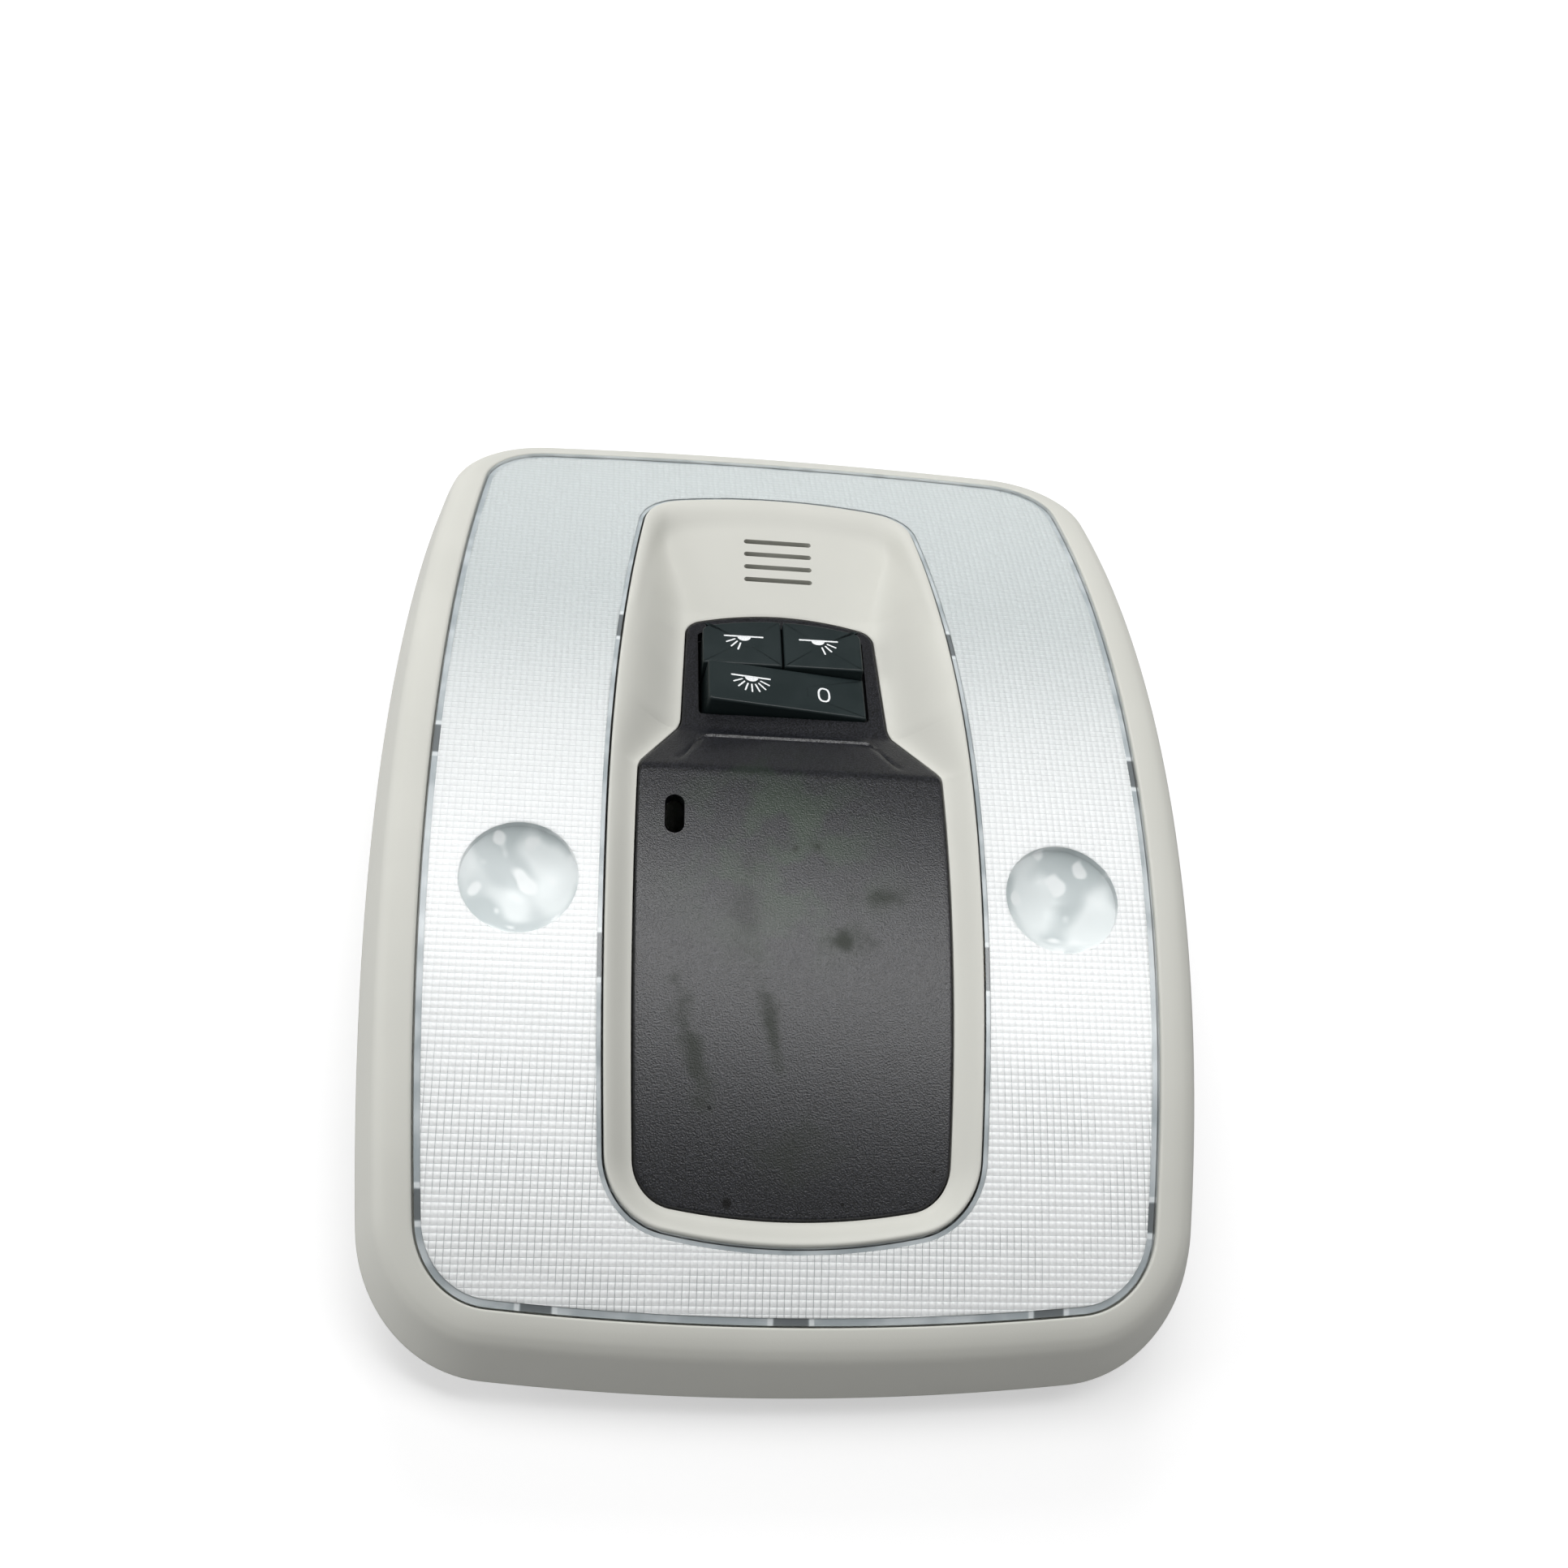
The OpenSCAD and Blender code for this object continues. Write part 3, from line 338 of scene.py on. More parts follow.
WARM_GREY = linear(205, 205, 198)
MATERIALS = {
    "warm_grey": moulded("warm_grey", WARM_GREY, 0.55, 0.3, 0.12, 0.015, 30.0, specular=0.35),
    "steel_pin": moulded("steel_pin", linear(190, 190, 192), 0.3, 0.6, 0.1, 0.05, metallic=1.0),
    "inner_black": moulded("inner_black", linear(40, 41, 42), 0.6, 0.5, 0.3, 0.08),
    "switch_block": moulded("switch_block", linear(70, 70, 74), 0.5, 0.4, 0.2, 0.06),
    "plunger_red": moulded("plunger_red", linear(170, 70, 50), 0.45, 0.4, 0.1, 0.05),
    "board": moulded("board", linear(30, 92, 62), 0.4, 1.2, 0.2, 0.12, 6.0),
    "film": moulded("film", linear(205, 198, 170), 0.4, 0.8, 0.1, 0.05),
    "contact": moulded("contact", linear(214, 178, 110), 0.3, 0.5, 0.15, 0.06, metallic=1.0),
    "housing_white": moulded("housing_white", linear(222, 222, 217), 0.55, 0.5, 0.2, 0.02),
    "holder_grey": moulded("holder_grey", linear(92, 92, 96), 0.6, 0.5, 0.25, 0.06),
    "spring_steel": moulded("spring_steel", linear(150, 152, 156), 0.35, 0.8, 0.2, 0.08,
                            metallic=1.0),
    "screw_steel": moulded("screw_steel", linear(170, 172, 176), 0.35, 0.5, 0.2, 0.08,
                           metallic=1.0),
    "mic_case": moulded("mic_case", linear(196, 198, 200), 0.35, 0.4, 0.1, 0.04, metallic=1.0),
    "mic_rubber": moulded("mic_rubber", linear(38, 38, 38), 0.8, 0.4, 0.4, 0.1),
}


def silvered():
    """Silvered plastic with gentle waves that turn what it mirrors into soft swirls."""
    s = Shade("reflector")
    p = s.node("ShaderNodeBsdfPrincipled", Base_Color=linear(240, 245, 245), Metallic=1.0)
    s.feed(p, "Roughness", s.ramp(s.noise(5.0, 2.0), 0.3, 0.7, 0.22, 0.3))
    s.feed(p, "Normal", s.bump(s.noise(8.0, 1.0), 0.6, 2.0))
    return s.finish(p.outputs[0])


MATERIALS["reflector"] = silvered()


def pearly():
    """Frosted silver lining under a reading window, with soft bright patches and whiter spots that are
    painted reflections.
    """
    s = Shade("pearly")
    # Painted reflections: soft bright patches, and below them whiter spots
    soft = s.ramp(s.noise(9.0, 0.6), 0.42, 0.62)
    base = s.mix(soft, linear(198, 205, 206), linear(244, 247, 247))
    base = s.mix(s.ramp(s.noise(4.0, 0.0), 0.6, 0.72), base, linear(252, 253, 253))
    p = s.node("ShaderNodeBsdfPrincipled", Base_Color=base, Roughness=0.35)
    return s.finish(p.outputs[0])


MATERIALS["pearly"] = pearly()


def clear_material(name, tint, rough, gloss):
    """Clear plastic or glass: what lies behind shows through, and the surface has a gloss."""
    s = Shade(name)
    fresnel = s.node("ShaderNodeFresnel", IOR=1.49).outputs[0]
    share = s.math("MULTIPLY", fresnel, gloss)
    see = s.node("ShaderNodeBsdfTransparent", Color=tint).outputs[0]
    shine = s.node("ShaderNodeBsdfGlossy", Roughness=rough, Color=(1, 1, 1, 1))
    s.feed(shine, "Normal", s.bump(s.noise(9.0, 1.0), 0.15, 0.4))
    both = s.tree.nodes.new("ShaderNodeMixShader")
    for i, value in enumerate((share, see, shine.outputs[0])):
        s.feed(both, str(i), value)
    return s.finish(both.outputs[0])


MATERIALS["clear_lens"] = clear_material("clear_lens", (0.985, 0.99, 0.99, 1), 0.2, 0.5)
MATERIALS["bulb_glass"] = moulded("bulb_glass", linear(246, 248, 248), 0.18, 1.2, 0.02, 0.01)


# Marks on the black panel: place, half width and half length in mm, turn in degrees, depth
SMUDGES = ((4.6, -14.2, 1.5, 1.5, 0, 0.9), (0.5, -15.0, 0.8, 0.8, 0, 0.6),
           (17.5, -24.0, 5.5, 2.6, 10, 0.75), (9.6, -32.6, 4.6, 3.2, -15, 0.95),
           (-4.6, -48.0, 1.8, 8.5, 10, 0.85), (-18.5, -52.0, 2.4, 13.0, 16, 0.75),
           (0.0, -70.0, 7.0, 5.0, 0, 0.5), (-9.0, -28.0, 4.0, 14.0, 0, 0.35))
# Place and radius in mm
SPECKS = ((-11.4, -78.3, 0.9), (8.7, -78.2, 0.35), (25.0, -72.5, 0.3), (-14.9, -63.0, 0.4))


def black_panel():
    """Satin black with a fine sparkling grain, a greenish haze, smudges and specks."""
    s = Shade("black_panel")
    where = s.node("ShaderNodeSeparateXYZ", Vector=s.place)
    ragged = s.math("MULTIPLY", s.math("SUBTRACT", s.noise(4.0, 4.0), 0.5), 2.6)

    def reach(x, y, half_w, half_l, turn):
        """Distance from an ellipse's middle, 1 on its outline."""
        dx = s.math("SUBTRACT", where.outputs[0], x * MM)
        dy = s.math("SUBTRACT", where.outputs[1], y * MM)
        c, k = math.cos(math.radians(turn)), math.sin(math.radians(turn))
        u = s.math("ADD", s.math("MULTIPLY", dx, c / (half_w * MM)),
                   s.math("MULTIPLY", dy, k / (half_w * MM)))
        v = s.math("SUBTRACT", s.math("MULTIPLY", dy, c / (half_l * MM)),
                   s.math("MULTIPLY", dx, k / (half_l * MM)))
        return s.math("SQRT", s.math("ADD", s.math("MULTIPLY", u, u), s.math("MULTIPLY", v, v)))

    smudge = 0.0
    for x, y, half_w, half_l, turn, depth in SMUDGES:
        soft = s.ramp(s.math("ADD", reach(x, y, half_w, half_l, turn), ragged), 1.5, -0.1)
        smudge = s.math("MAXIMUM", s.math("MULTIPLY", soft, depth), smudge)
    speck = 0.0
    for x, y, r in SPECKS:
        speck = s.math("MAXIMUM", s.ramp(reach(x, y, r, r, 0), 1.1, 0.7), speck)
    haze = s.math("MULTIPLY", s.ramp(reach(-3, -16, 24, 24, 0), 1.2, 0.2),
                  s.ramp(s.noise(9.0, 3.0), 0.4, 0.6))
    fine = s.noise(0.3, 2.0)
    base = s.mix(s.ramp(fine, 0.35, 0.7), linear(4, 5, 7), linear(39, 40, 46))
    base = s.mix(s.math("MULTIPLY", haze, 0.8), base, linear(34, 52, 34))
    base = s.mix(smudge, base, linear(38, 43, 35))
    base = s.mix(speck, base, linear(8, 8, 8))
    p = s.node("ShaderNodeBsdfPrincipled", Base_Color=base)
    dull = s.math("MAXIMUM", smudge, speck)
    s.feed(p, "Specular IOR Level", s.ramp(dull, 0, 1, 0.66, 0.32))
    s.feed(p, "Roughness", s.ramp(dull, 0, 1, 0.33, 0.42))
    s.feed(p, "Normal", s.bump(fine, 0.9, 0.08))
    return s.finish(p.outputs[0])


MATERIALS["black_panel"] = black_panel()
MATERIALS["black_key"] = moulded("black_key", linear(30, 40, 41), 0.4, 0.18, 0.12, 0.05, 8.0,
                                 specular=0.4)


def sign_white():
    """White print, a little worn."""
    s = Shade("sign_white")
    worn = s.ramp(s.noise(0.3, 2.0), 0.3, 0.6)
    base = s.mix(worn, linear(222, 226, 228), linear(245, 247, 248))
    p = s.node("ShaderNodeBsdfPrincipled", Base_Color=base, Roughness=0.45)
    return s.finish(p.outputs[0])


SIGN_WHITE = sign_white()


def prism_material():
    """Pale prisms with painted light: painted shade along the grooves and across each cell's middle, a
    painted highlight at each cell's far edge, and a far end greyed by painted shade.
    """
    s = Shade("prisms")
    uv = s.node("ShaderNodeUVMap")
    uv.uv_map = "cells"
    split = s.node("ShaderNodeSeparateXYZ", Vector=uv.outputs[0])
    across = s.math("FRACT", split.outputs[0])
    along = s.math("FRACT", split.outputs[1])
    off_x = s.math("ABSOLUTE", s.math("SUBTRACT", across, 0.5))
    off_y = s.math("ABSOLUTE", s.math("SUBTRACT", along, 0.5))
    y = s.node("ShaderNodeSeparateXYZ", Vector=s.place).outputs[1]
    # Painted shade by place: darker groove lines towards the near end and a greyer far end, which on the
    # real lens come from refraction
    near = s.ramp(y, -0.035, -0.075)
    far = s.ramp(y, -0.02, 0.05)
    patches = s.ramp(s.noise(15.0, 2.0), 0.42, 0.6)
    near_shade_strength = s.math("MULTIPLY", near, patches)
    groove_shade_x = s.math("MULTIPLY", s.ramp(off_x, 0.42, 0.49), s.ramp(near_shade_strength, 0, 1, 0.16, 0.65))
    groove_shade_y = s.math("MULTIPLY", s.ramp(off_y, 0.42, 0.485), s.ramp(near_shade_strength, 0, 1, 0.34, 0.46))
    # Painted shade across each cell's middle; the white band left at its far edge is a painted highlight
    middle_shade_y = s.math("MULTIPLY", s.ramp(along, 0.1, 0.2), s.ramp(along, 0.72, 0.66))
    depth = s.math("MAXIMUM", s.math("MULTIPLY", near, 0.4), far)
    body = s.math("MULTIPLY", middle_shade_y, s.ramp(depth, 0, 1, 0.02, 0.12))
    # Painted shade: a soft grey spot in each cell
    spot_y = s.math("ABSOLUTE", s.math("SUBTRACT", along, 0.4))
    spot_r = s.math("SQRT", s.math("ADD", s.math("MULTIPLY", off_x, off_x),
                                   s.math("MULTIPLY", spot_y, spot_y)))
    spot = s.math("MULTIPLY", s.ramp(spot_r, 0.26, 0.06), 0.1)
    dark = s.math("MAXIMUM", s.math("MAXIMUM", groove_shade_x, groove_shade_y), s.math("MAXIMUM", body, spot))
    # Pale base whose far end is greyed by painted shade
    pale = s.mix(s.math("MULTIPLY", far, 0.75), linear(254, 255, 255), linear(198, 205, 205))
    base = s.mix(dark, pale, linear(124, 130, 134))
    p = s.node("ShaderNodeBsdfPrincipled", Base_Color=base, Roughness=0.3)
    s.feed(p, "Specular IOR Level", 0.4)
    return s.finish(p.outputs[0])


PRISMS = prism_material()

for row in frame["record"]["subparts"]:
    node = frame["nodes"][row["node"]]
    node.data.materials.clear()
    node.data.materials.append(MATERIALS[row["material_slot"]])


# Bezel: face, roll-over and sloping wall as share of its width and depth below the crown
BEZEL_FACE = [(0, 0.5), (0.012, 0.22), (0.035, 0.06), (0.08, 0), (0.25, 0.03), (0.42, 0.3),
              (0.52, 0.75), (0.6, 1.35), (0.66, 2.2), (0.71, 3.4), (0.82, 6.3),
              (0.985, BEZEL_DEPTH - 0.45), (1, BEZEL_DEPTH - 0.12), (0.99, BEZEL_DEPTH)]


def smooth_profile(points, per_span=4):
    """Rounded run through the points, by Catmull-Rom."""
    p = np.array([points[0]] + list(points) + [points[-1]], float)
    made = []
    for i in range(1, len(p) - 2):
        a, b, c, d = p[i - 1], p[i], p[i + 1], p[i + 2]
        for k in range(per_span):
            t = k / per_span
            made.append(0.5 * (2 * b + (c - a) * t + (2 * a - 5 * b + 4 * c - d) * t * t
                               + (3 * b - a - 3 * c + d) * t ** 3))
    made.append(p[-2])
    return made


def make_bezel():
    a, b, inner = lens_outline(LENS_GAP), bezel_outline(), lens_outline(-LEDGE_W)
    ledge_top = LENS_T + LENS_GAP
    ledge_low = ledge_top + LEDGE_T
    wall = BEZEL_WALL / (BEZEL_HALF_W - LENS_HALF_W)

    def at(share, depth):
        p = a + (b - a) * share
        return np.column_stack([p, crown_z(p[:, 1], depth)])

    rows = [at(f, d) for f, d in smooth_profile(BEZEL_FACE)]
    rows += [at(1 - wall, BEZEL_DEPTH), at(0.82 - wall, 6.9), at(0.66 - wall, ledge_low)]
    rows += [np.column_stack([inner, crown_z(inner[:, 1], d)]) for d in (ledge_low, ledge_top)]
    rows.append(at(0, ledge_top))
    piece = ring_piece("bezel_shell", rows, MATERIALS["warm_grey"])
    outward(piece)
    sharpen(piece, 40)
    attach(piece, "root")
    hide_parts("bezel")


make_bezel()


# Right half of the switch panel's outline, from the near end to the far end
def neck_tail():
    dy, px = NECK_FAR_Y - NECK_END_R, NECK_FAR_HALF_W - NECK_CORNER_R
    py = dy + math.sqrt((NECK_END_R - NECK_CORNER_R) ** 2 - px * px)
    a2 = math.atan2(py - dy, px)
    return np.concatenate([
        arc((px, py), NECK_CORNER_R, 0, a2, CORNER_STEPS),
        arc((0, dy), NECK_END_R, a2, math.pi / 2, SIDE_STEPS + END_STEPS - 2),
        [[0, NECK_FAR_Y]],
    ])


TAIL = neck_tail()


def panel_side(y):
    """Half width of the panel before its shoulders are rounded."""
    y = np.asarray(y, float)
    lower = PANEL_HALF_W - (PANEL_DOWN[1] - np.sqrt(PANEL_DOWN[1] ** 2 - (y - PANEL_WIDE_Y) ** 2))
    at_shoulder = PANEL_HALF_W - (PANEL_DOWN[1] - math.sqrt(
        PANEL_DOWN[1] ** 2 - (SHOULDER_NEAR_Y - PANEL_WIDE_Y) ** 2))
    ramp = at_shoulder + (NECK_NEAR_HALF_W - at_shoulder) * (y - SHOULDER_NEAR_Y) / (
        SHOULDER_FAR_Y - SHOULDER_NEAR_Y)
    neck = NECK_NEAR_HALF_W + (NECK_FAR_HALF_W - NECK_NEAR_HALF_W) * (y - SHOULDER_FAR_Y) / (
        TAIL[0][1] - SHOULDER_FAR_Y)
    return np.where(y <= SHOULDER_NEAR_Y, lower, np.where(y <= SHOULDER_FAR_Y, ramp, neck))


def panel_x(y):
    """The same with rounded shoulders."""
    y = np.asarray(y, float)
    window = np.linspace(-1.6, 1.6, 17)
    return np.mean([panel_side(y + w) for w in window], axis=0)


# Places of the loops' points along the sides, closest together at the ridge
SIDE_YS = np.unique(np.concatenate([
    np.arange(-9, 0, 1.5), np.arange(0, 10, 0.5), np.arange(10, 16, 0.2), np.arange(16, 20, 0.6),
    np.arange(20.5, TAIL[0][1] - 0.6, 1.5)]))


def panel_right():
    q = quarter(PANEL_HALF_W, PANEL_DOWN)[::-1] * [1, -1] + [0, PANEL_WIDE_Y]
    return np.concatenate([q, np.column_stack([panel_x(SIDE_YS), SIDE_YS]), TAIL])


def trim_x(y):
    return TRIM_HALF_W - (TRIM_UP[1] - np.sqrt(TRIM_UP[1] ** 2 - (np.asarray(y) - TRIM_WIDE_Y) ** 2))


def trim_right():
    down = quarter(TRIM_HALF_W, TRIM_DOWN)[::-1] * [1, -1] + [0, TRIM_WIDE_Y]
    up = quarter(TRIM_HALF_W, TRIM_UP) + [0, TRIM_WIDE_Y]
    n = SIDE_STEPS - 2
    ys = TAIL[0][1] + (up[SIDE_STEPS][1] - TAIL[0][1]) * np.arange(n) / n
    return np.concatenate([down, np.column_stack([trim_x(SIDE_YS), SIDE_YS]),
                           np.column_stack([trim_x(ys), ys]), up[SIDE_STEPS:]])


def mirrored(half):
    return np.concatenate([half, (half * [-1, 1])[-2:0:-1]])


def inset_ring(points, inset):
    """Closed outline moved inward, or outward by a negative inset."""
    step = np.roll(points, -1, 0) - np.roll(points, 1, 0)
    normal = np.column_stack([step[:, 1], -step[:, 0]])
    normal /= np.linalg.norm(normal, axis=1)[:, None]
    return points - normal * inset


# Height of the sunk floor along the middle line of the console
def field_z(y):
    return OVERALL_H - FIELD_SINK - math.tan(FIELD_TILT) * (np.asarray(y, float) - FIELD_Y)


def floor_z(y):
    y = np.asarray(y, float)
    edge = float(crown_z(RAMP_NEAR_Y, PANEL_SINK))
    low = float(field_z(RAMP_FAR_Y))
    ramp = edge + (low - edge) * (y - RAMP_NEAR_Y) / (RAMP_FAR_Y - RAMP_NEAR_Y)
    end = float(field_z(NECK_FAR_Y))
    rise = end + (float(crown_z(TRIM_FAR_Y)) - end) * (y - NECK_FAR_Y) / (TRIM_FAR_Y - NECK_FAR_Y)
    z = np.where(y <= RAMP_NEAR_Y, crown_z(y, PANEL_SINK), ramp)
    z = np.where(y > RAMP_FAR_Y, field_z(y), z)
    return np.where(y > NECK_FAR_Y, rise, z)


def soft_floor_z(y):
    """The floor with its two ramp edges rounded a little."""
    window = np.linspace(-0.9, 0.9, 9)
    return np.where(np.asarray(y) < 20, np.mean([floor_z(y + w) for w in window], axis=0), floor_z(y))


def foot_x(y):
    y = np.asarray(y, float)
    return np.where(y <= NECK_FAR_Y, panel_side(np.minimum(y, TAIL[0][1])),
                    NECK_FAR_HALF_W + 4 * ease((y - NECK_FAR_Y) / 20))


def make_trim():
    outer, inner = mirrored(trim_right()), mirrored(panel_right())
    reach = inset_ring(inner, -PANEL_GAP) - outer
    length = np.linalg.norm(reach, axis=1)[:, None]
    tail_y = TAIL[0][1]

    def between(inset, share):
        return outer + reach * (inset + share * (length - inset)) / length

    def fall(p):
        sunk = crown_z(p[:, 1]) - floor_z(p[:, 1])
        t = np.linalg.norm(p - outer, axis=1) / length[:, 0]
        w = (trim_x(p[:, 1]) - np.abs(p[:, 0])) / (trim_x(p[:, 1]) - foot_x(p[:, 1]))
        return np.where(p[:, 1] > tail_y, sunk * ease(w) * ease(t / 0.25), sunk * ease(t))

    def skin(inset, share, drop):
        p = between(inset, share)
        return np.column_stack([p, crown_z(p[:, 1]) - fall(p) - drop])

    def skirt(inset):
        p = between(inset, 0)
        return np.column_stack([p, crown_z(p[:, 1], TRIM_SKIRT)])

    shares = np.concatenate([np.linspace(0, 1, 25)[:-1], [0.975]])
    rows = [skirt(0), skin(0, 0, 0.6), skin(0.03, 0, 0.36), skin(0.12, 0, 0.16), skin(0.28, 0, 0.04)]
    rows += [skin(0.5, f, 0) for f in shares]
    rows += [skin(0.5, 0.99, 0.04), skin(0.5, 1, 0.16), skin(0.5, 1, TRIM_T)]
    rows += [skin(0.5, f, TRIM_T) for f in shares[::-1][:-1]]
    rows += [skin(TRIM_SKIRT_T, 0, TRIM_T), skirt(TRIM_SKIRT_T)]
    piece = ring_piece("console_frame", rows, MATERIALS["warm_grey"])
    outward(piece)
    slots = []
    for i in range(SLOT_N):
        y = SLOT_FIRST_Y + i * SLOT_PITCH
        half = [(SLOT_W / 2 - SLOT_H / 2 + SLOT_H / 2 * math.cos(a), y + SLOT_H / 2 * math.sin(a))
                for a in np.linspace(-math.pi / 2, math.pi / 2, 9)]
        slots.append(prism("slot", half + [(-x, 2 * y - v) for x, v in half], *CUT_HEIGHTS))
    cut(piece, *slots)
    sharpen(piece, 35)
    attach(piece, "root")
    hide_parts("console_trim")


make_trim()


# Raised ramp between the shoulders, with a rounded ridge before the switch field
HIP_FAR, HIP_NEAR, HIP_RISE = (15.8, 13.0), (21.5, 3.2), 0.65
BEAD_H, BEAD_HALF_W, HIP_GROOVE, HIP_HALF_W = 0.6, 0.85, 0.38, 0.7


def ramp_rise(x, y):
    """Raised middle of the ramp with a rounded bead along its ridge and grooves down its hips."""
    x = np.abs(x)
    along = np.clip((y - RAMP_NEAR_Y) / (HIP_FAR[1] - RAMP_NEAR_Y), 0, 1)
    dx, dy = HIP_NEAR[0] - HIP_FAR[0], HIP_NEAR[1] - HIP_FAR[1]
    d = math.hypot(dx, dy)
    past_hip = ((x - HIP_FAR[0]) * -dy + (y - HIP_FAR[1]) * dx) / d
    down_hip = ((x - HIP_FAR[0]) * dx + (y - HIP_FAR[1]) * dy) / d
    past_ridge = y - HIP_FAR[1]
    past = np.maximum(past_hip, 0) ** 2 + np.maximum(past_ridge, 0) ** 2
    inside = np.minimum(-past_hip, -past_ridge)
    reach = np.where(inside > 0, -inside, np.sqrt(past))
    rise = HIP_RISE * along * (1 - ease((reach + 0.6) / 2.4))
    # The bead runs over the ridge's length and bends a little way down the hips
    over = np.maximum(x - HIP_FAR[0] + 0.6, 0)
    off = np.hypot(past_ridge + 0.5 * over ** 2 * 0.6, np.maximum(over - 1.6, 0))
    rise = rise + BEAD_H * (1 - ease(np.abs(off) / BEAD_HALF_W))
    groove = ease((down_hip - 1.6) / 1.2) * (1 - ease((down_hip - d + 1.8) / 1.5))
    return rise - HIP_GROOVE * groove * (1 - ease(np.abs(past_hip - 0.7) / HIP_HALF_W))


def make_panel():
    rim = mirrored(panel_right())

    def row(p, drop=0.0):
        return np.column_stack([p, soft_floor_z(p[:, 1]) + ramp_rise(p[:, 0], p[:, 1]) - drop])

    # Underside's rim, wall and rounded upper edge, then loops that shrink to the middle line
    rows = [row(inset_ring(rim, inset), drop) for inset, drop in
            ((0, PANEL_T), (0, 0.5), (0.05, 0.28), (0.17, 0.11), (0.32, 0.02))]
    inner = inset_ring(rim, 0.5)
    rows += [row(inner * [f, 1]) for f in np.concatenate([[1], np.linspace(0.97, 0, 40)[:-1]])]
    n = len(rim)
    half = n // 2
    points = np.concatenate(rows)
    faces = ring_faces(len(rows), n, False)
    # The last loop closes over the middle line, and the underside over the first
    last = (len(rows) - 1) * n
    faces += [(last + i, last + i + 1, last + n - i - 1, last + (n - i) % n) for i in range(1, half - 1)]
    faces.append((last, last + 1, last + n - 1))
    faces.append((last + half - 1, last + half, last + half + 1))
    faces += [(i, (n - i) % n, n - i - 1, i + 1) for i in range(1, half - 1)]
    faces.append((0, n - 1, 1))
    faces.append((half - 1, half + 1, half))
    piece = add_mesh("switch_plate", points, faces, MATERIALS["black_panel"])
    outward(piece)
    far = KEYS_FAR + WELL_FAR_GAP
    xs = np.linspace(-WELL_HALF_W, WELL_HALF_W, 41)
    arch = np.column_stack([xs, far - KEYS_ARCH_R + np.sqrt(KEYS_ARCH_R ** 2 - xs ** 2)])
    well = np.concatenate([[[WELL_HALF_W, WELL_NEAR]], arch[::-1], [[-WELL_HALF_W, WELL_NEAR]]])
    cutter = prism("well", rounded(well, 1.0), -20, 10)
    turned(cutter, field_matrix())
    r, l = RELEASE_SLOT_W / 2, (RELEASE_SLOT_L - RELEASE_SLOT_W) / 2
    a = np.linspace(0, math.pi, 17)
    oval = np.concatenate([np.column_stack([r * np.cos(a), l + r * np.sin(a)]),
                           np.column_stack([-r * np.cos(a), -l - r * np.sin(a)])])
    cut(piece, cutter, prism("oval", oval + RELEASE_SLOT_AT, *CUT_HEIGHTS))
    sharpen(piece, 30)
    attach(piece, "root")
    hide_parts("switch_panel")


def rounded(points, radius, steps=6):
    """Polygon with its sharp corners rounded by one radius, or by one for each corner.

    Corners that turn less than 25 degrees stay.
    """
    p = np.asarray(points, float)
    made = []
    for i in range(len(p)):
        a, b, c = p[i - 1], p[i], p[(i + 1) % len(p)]
        u, v = a - b, c - b
        lu, lv = np.linalg.norm(u), np.linalg.norm(v)
        u, v = u / lu, v / lv
        turn = math.pi - math.acos(np.clip(np.dot(u, v), -1, 1))
        r = radius[i] if isinstance(radius, (list, tuple)) else radius
        if turn < math.radians(25) or r <= 0:
            made.append(b)
            continue
        back = r * math.tan(turn / 2)
        s, e = b + u * back, b + v * back
        centre = b + (u + v) / np.linalg.norm(u + v) * (r / math.cos(turn / 2))
        a0, a1 = (math.atan2(*(q - centre)[::-1]) for q in (s, e))
        swing = (a1 - a0 + math.pi) % (2 * math.pi) - math.pi
        for k in range(steps + 1):
            t = a0 + swing * k / steps
            made.append(centre + r * np.array([math.cos(t), math.sin(t)]))
    return np.array(made)


make_panel()


def resampled(points, spacing):
    """Closed outline with points added so that none are further apart than spacing."""
    made = []
    for i in range(len(points)):
        a, b = points[i], points[(i + 1) % len(points)]
        n = max(1, int(np.linalg.norm(b - a) / spacing))
        made += [a + (b - a) * k / n for k in range(n)]
    return np.array(made)


def cap_piece(name, points, low, high, edge, material):
    """Key cap: straight walls and a flat top with a rounded edge."""
    steps = 6
    rows = [(0, low), (0, high - edge)]
    rows += [(edge * (1 - math.cos(a)), high - edge + edge * math.sin(a))
             for a in np.linspace(0, math.pi / 2, steps + 1)[1:]]
    rings = []
    for inset, z in rows:
        p = inset_ring(points, inset)
        rings.append(np.column_stack([p, np.full(len(p), z)]))
    centre = points.mean(0)
    last = rings[-1]
    for f in (0.75, 0.5, 0.25):
        rings.append(np.column_stack([centre + (last[:, :2] - centre) * f, last[:, 2]]))
    n = len(points)
    faces = ring_faces(len(rings), n, False)
    faces.append(tuple(range((len(rings) - 1) * n, len(rings) * n)))
    faces.append(tuple(range(n))[::-1])
    return add_mesh(name, np.concatenate(rings), faces, material)


def make_key(side, name, body, node):
    xs = np.linspace(KEYS_HALF_W, KEY_GAP / 2, 24)
    arch = np.column_stack([xs, KEYS_FAR - KEYS_ARCH_R + np.sqrt(KEYS_ARCH_R ** 2 - xs ** 2)])
    p = np.concatenate([[[KEY_GAP / 2, KEY_NEAR], [KEYS_HALF_W, KEY_NEAR]], arch])
    radii = [0.25, 0.3, 2.0] + [0.0] * (len(arch) - 2) + [0.3]
    p = resampled(rounded(p, radii), 1.0)
    if side < 0:
        p = p[::-1] * [-1, 1]
    piece = cap_piece(name, p, -KEY_SKIRT, KEY_RISE, 0.45, MATERIALS["black_key"])
    outward(piece)
    sharpen(piece, 40)
    turned(piece, field_matrix())
    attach(piece, body)
    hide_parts(node)


make_key(-1, "left_key_cap", "left_key_body", "left_key")
make_key(1, "right_key_cap", "right_key_body", "right_key")


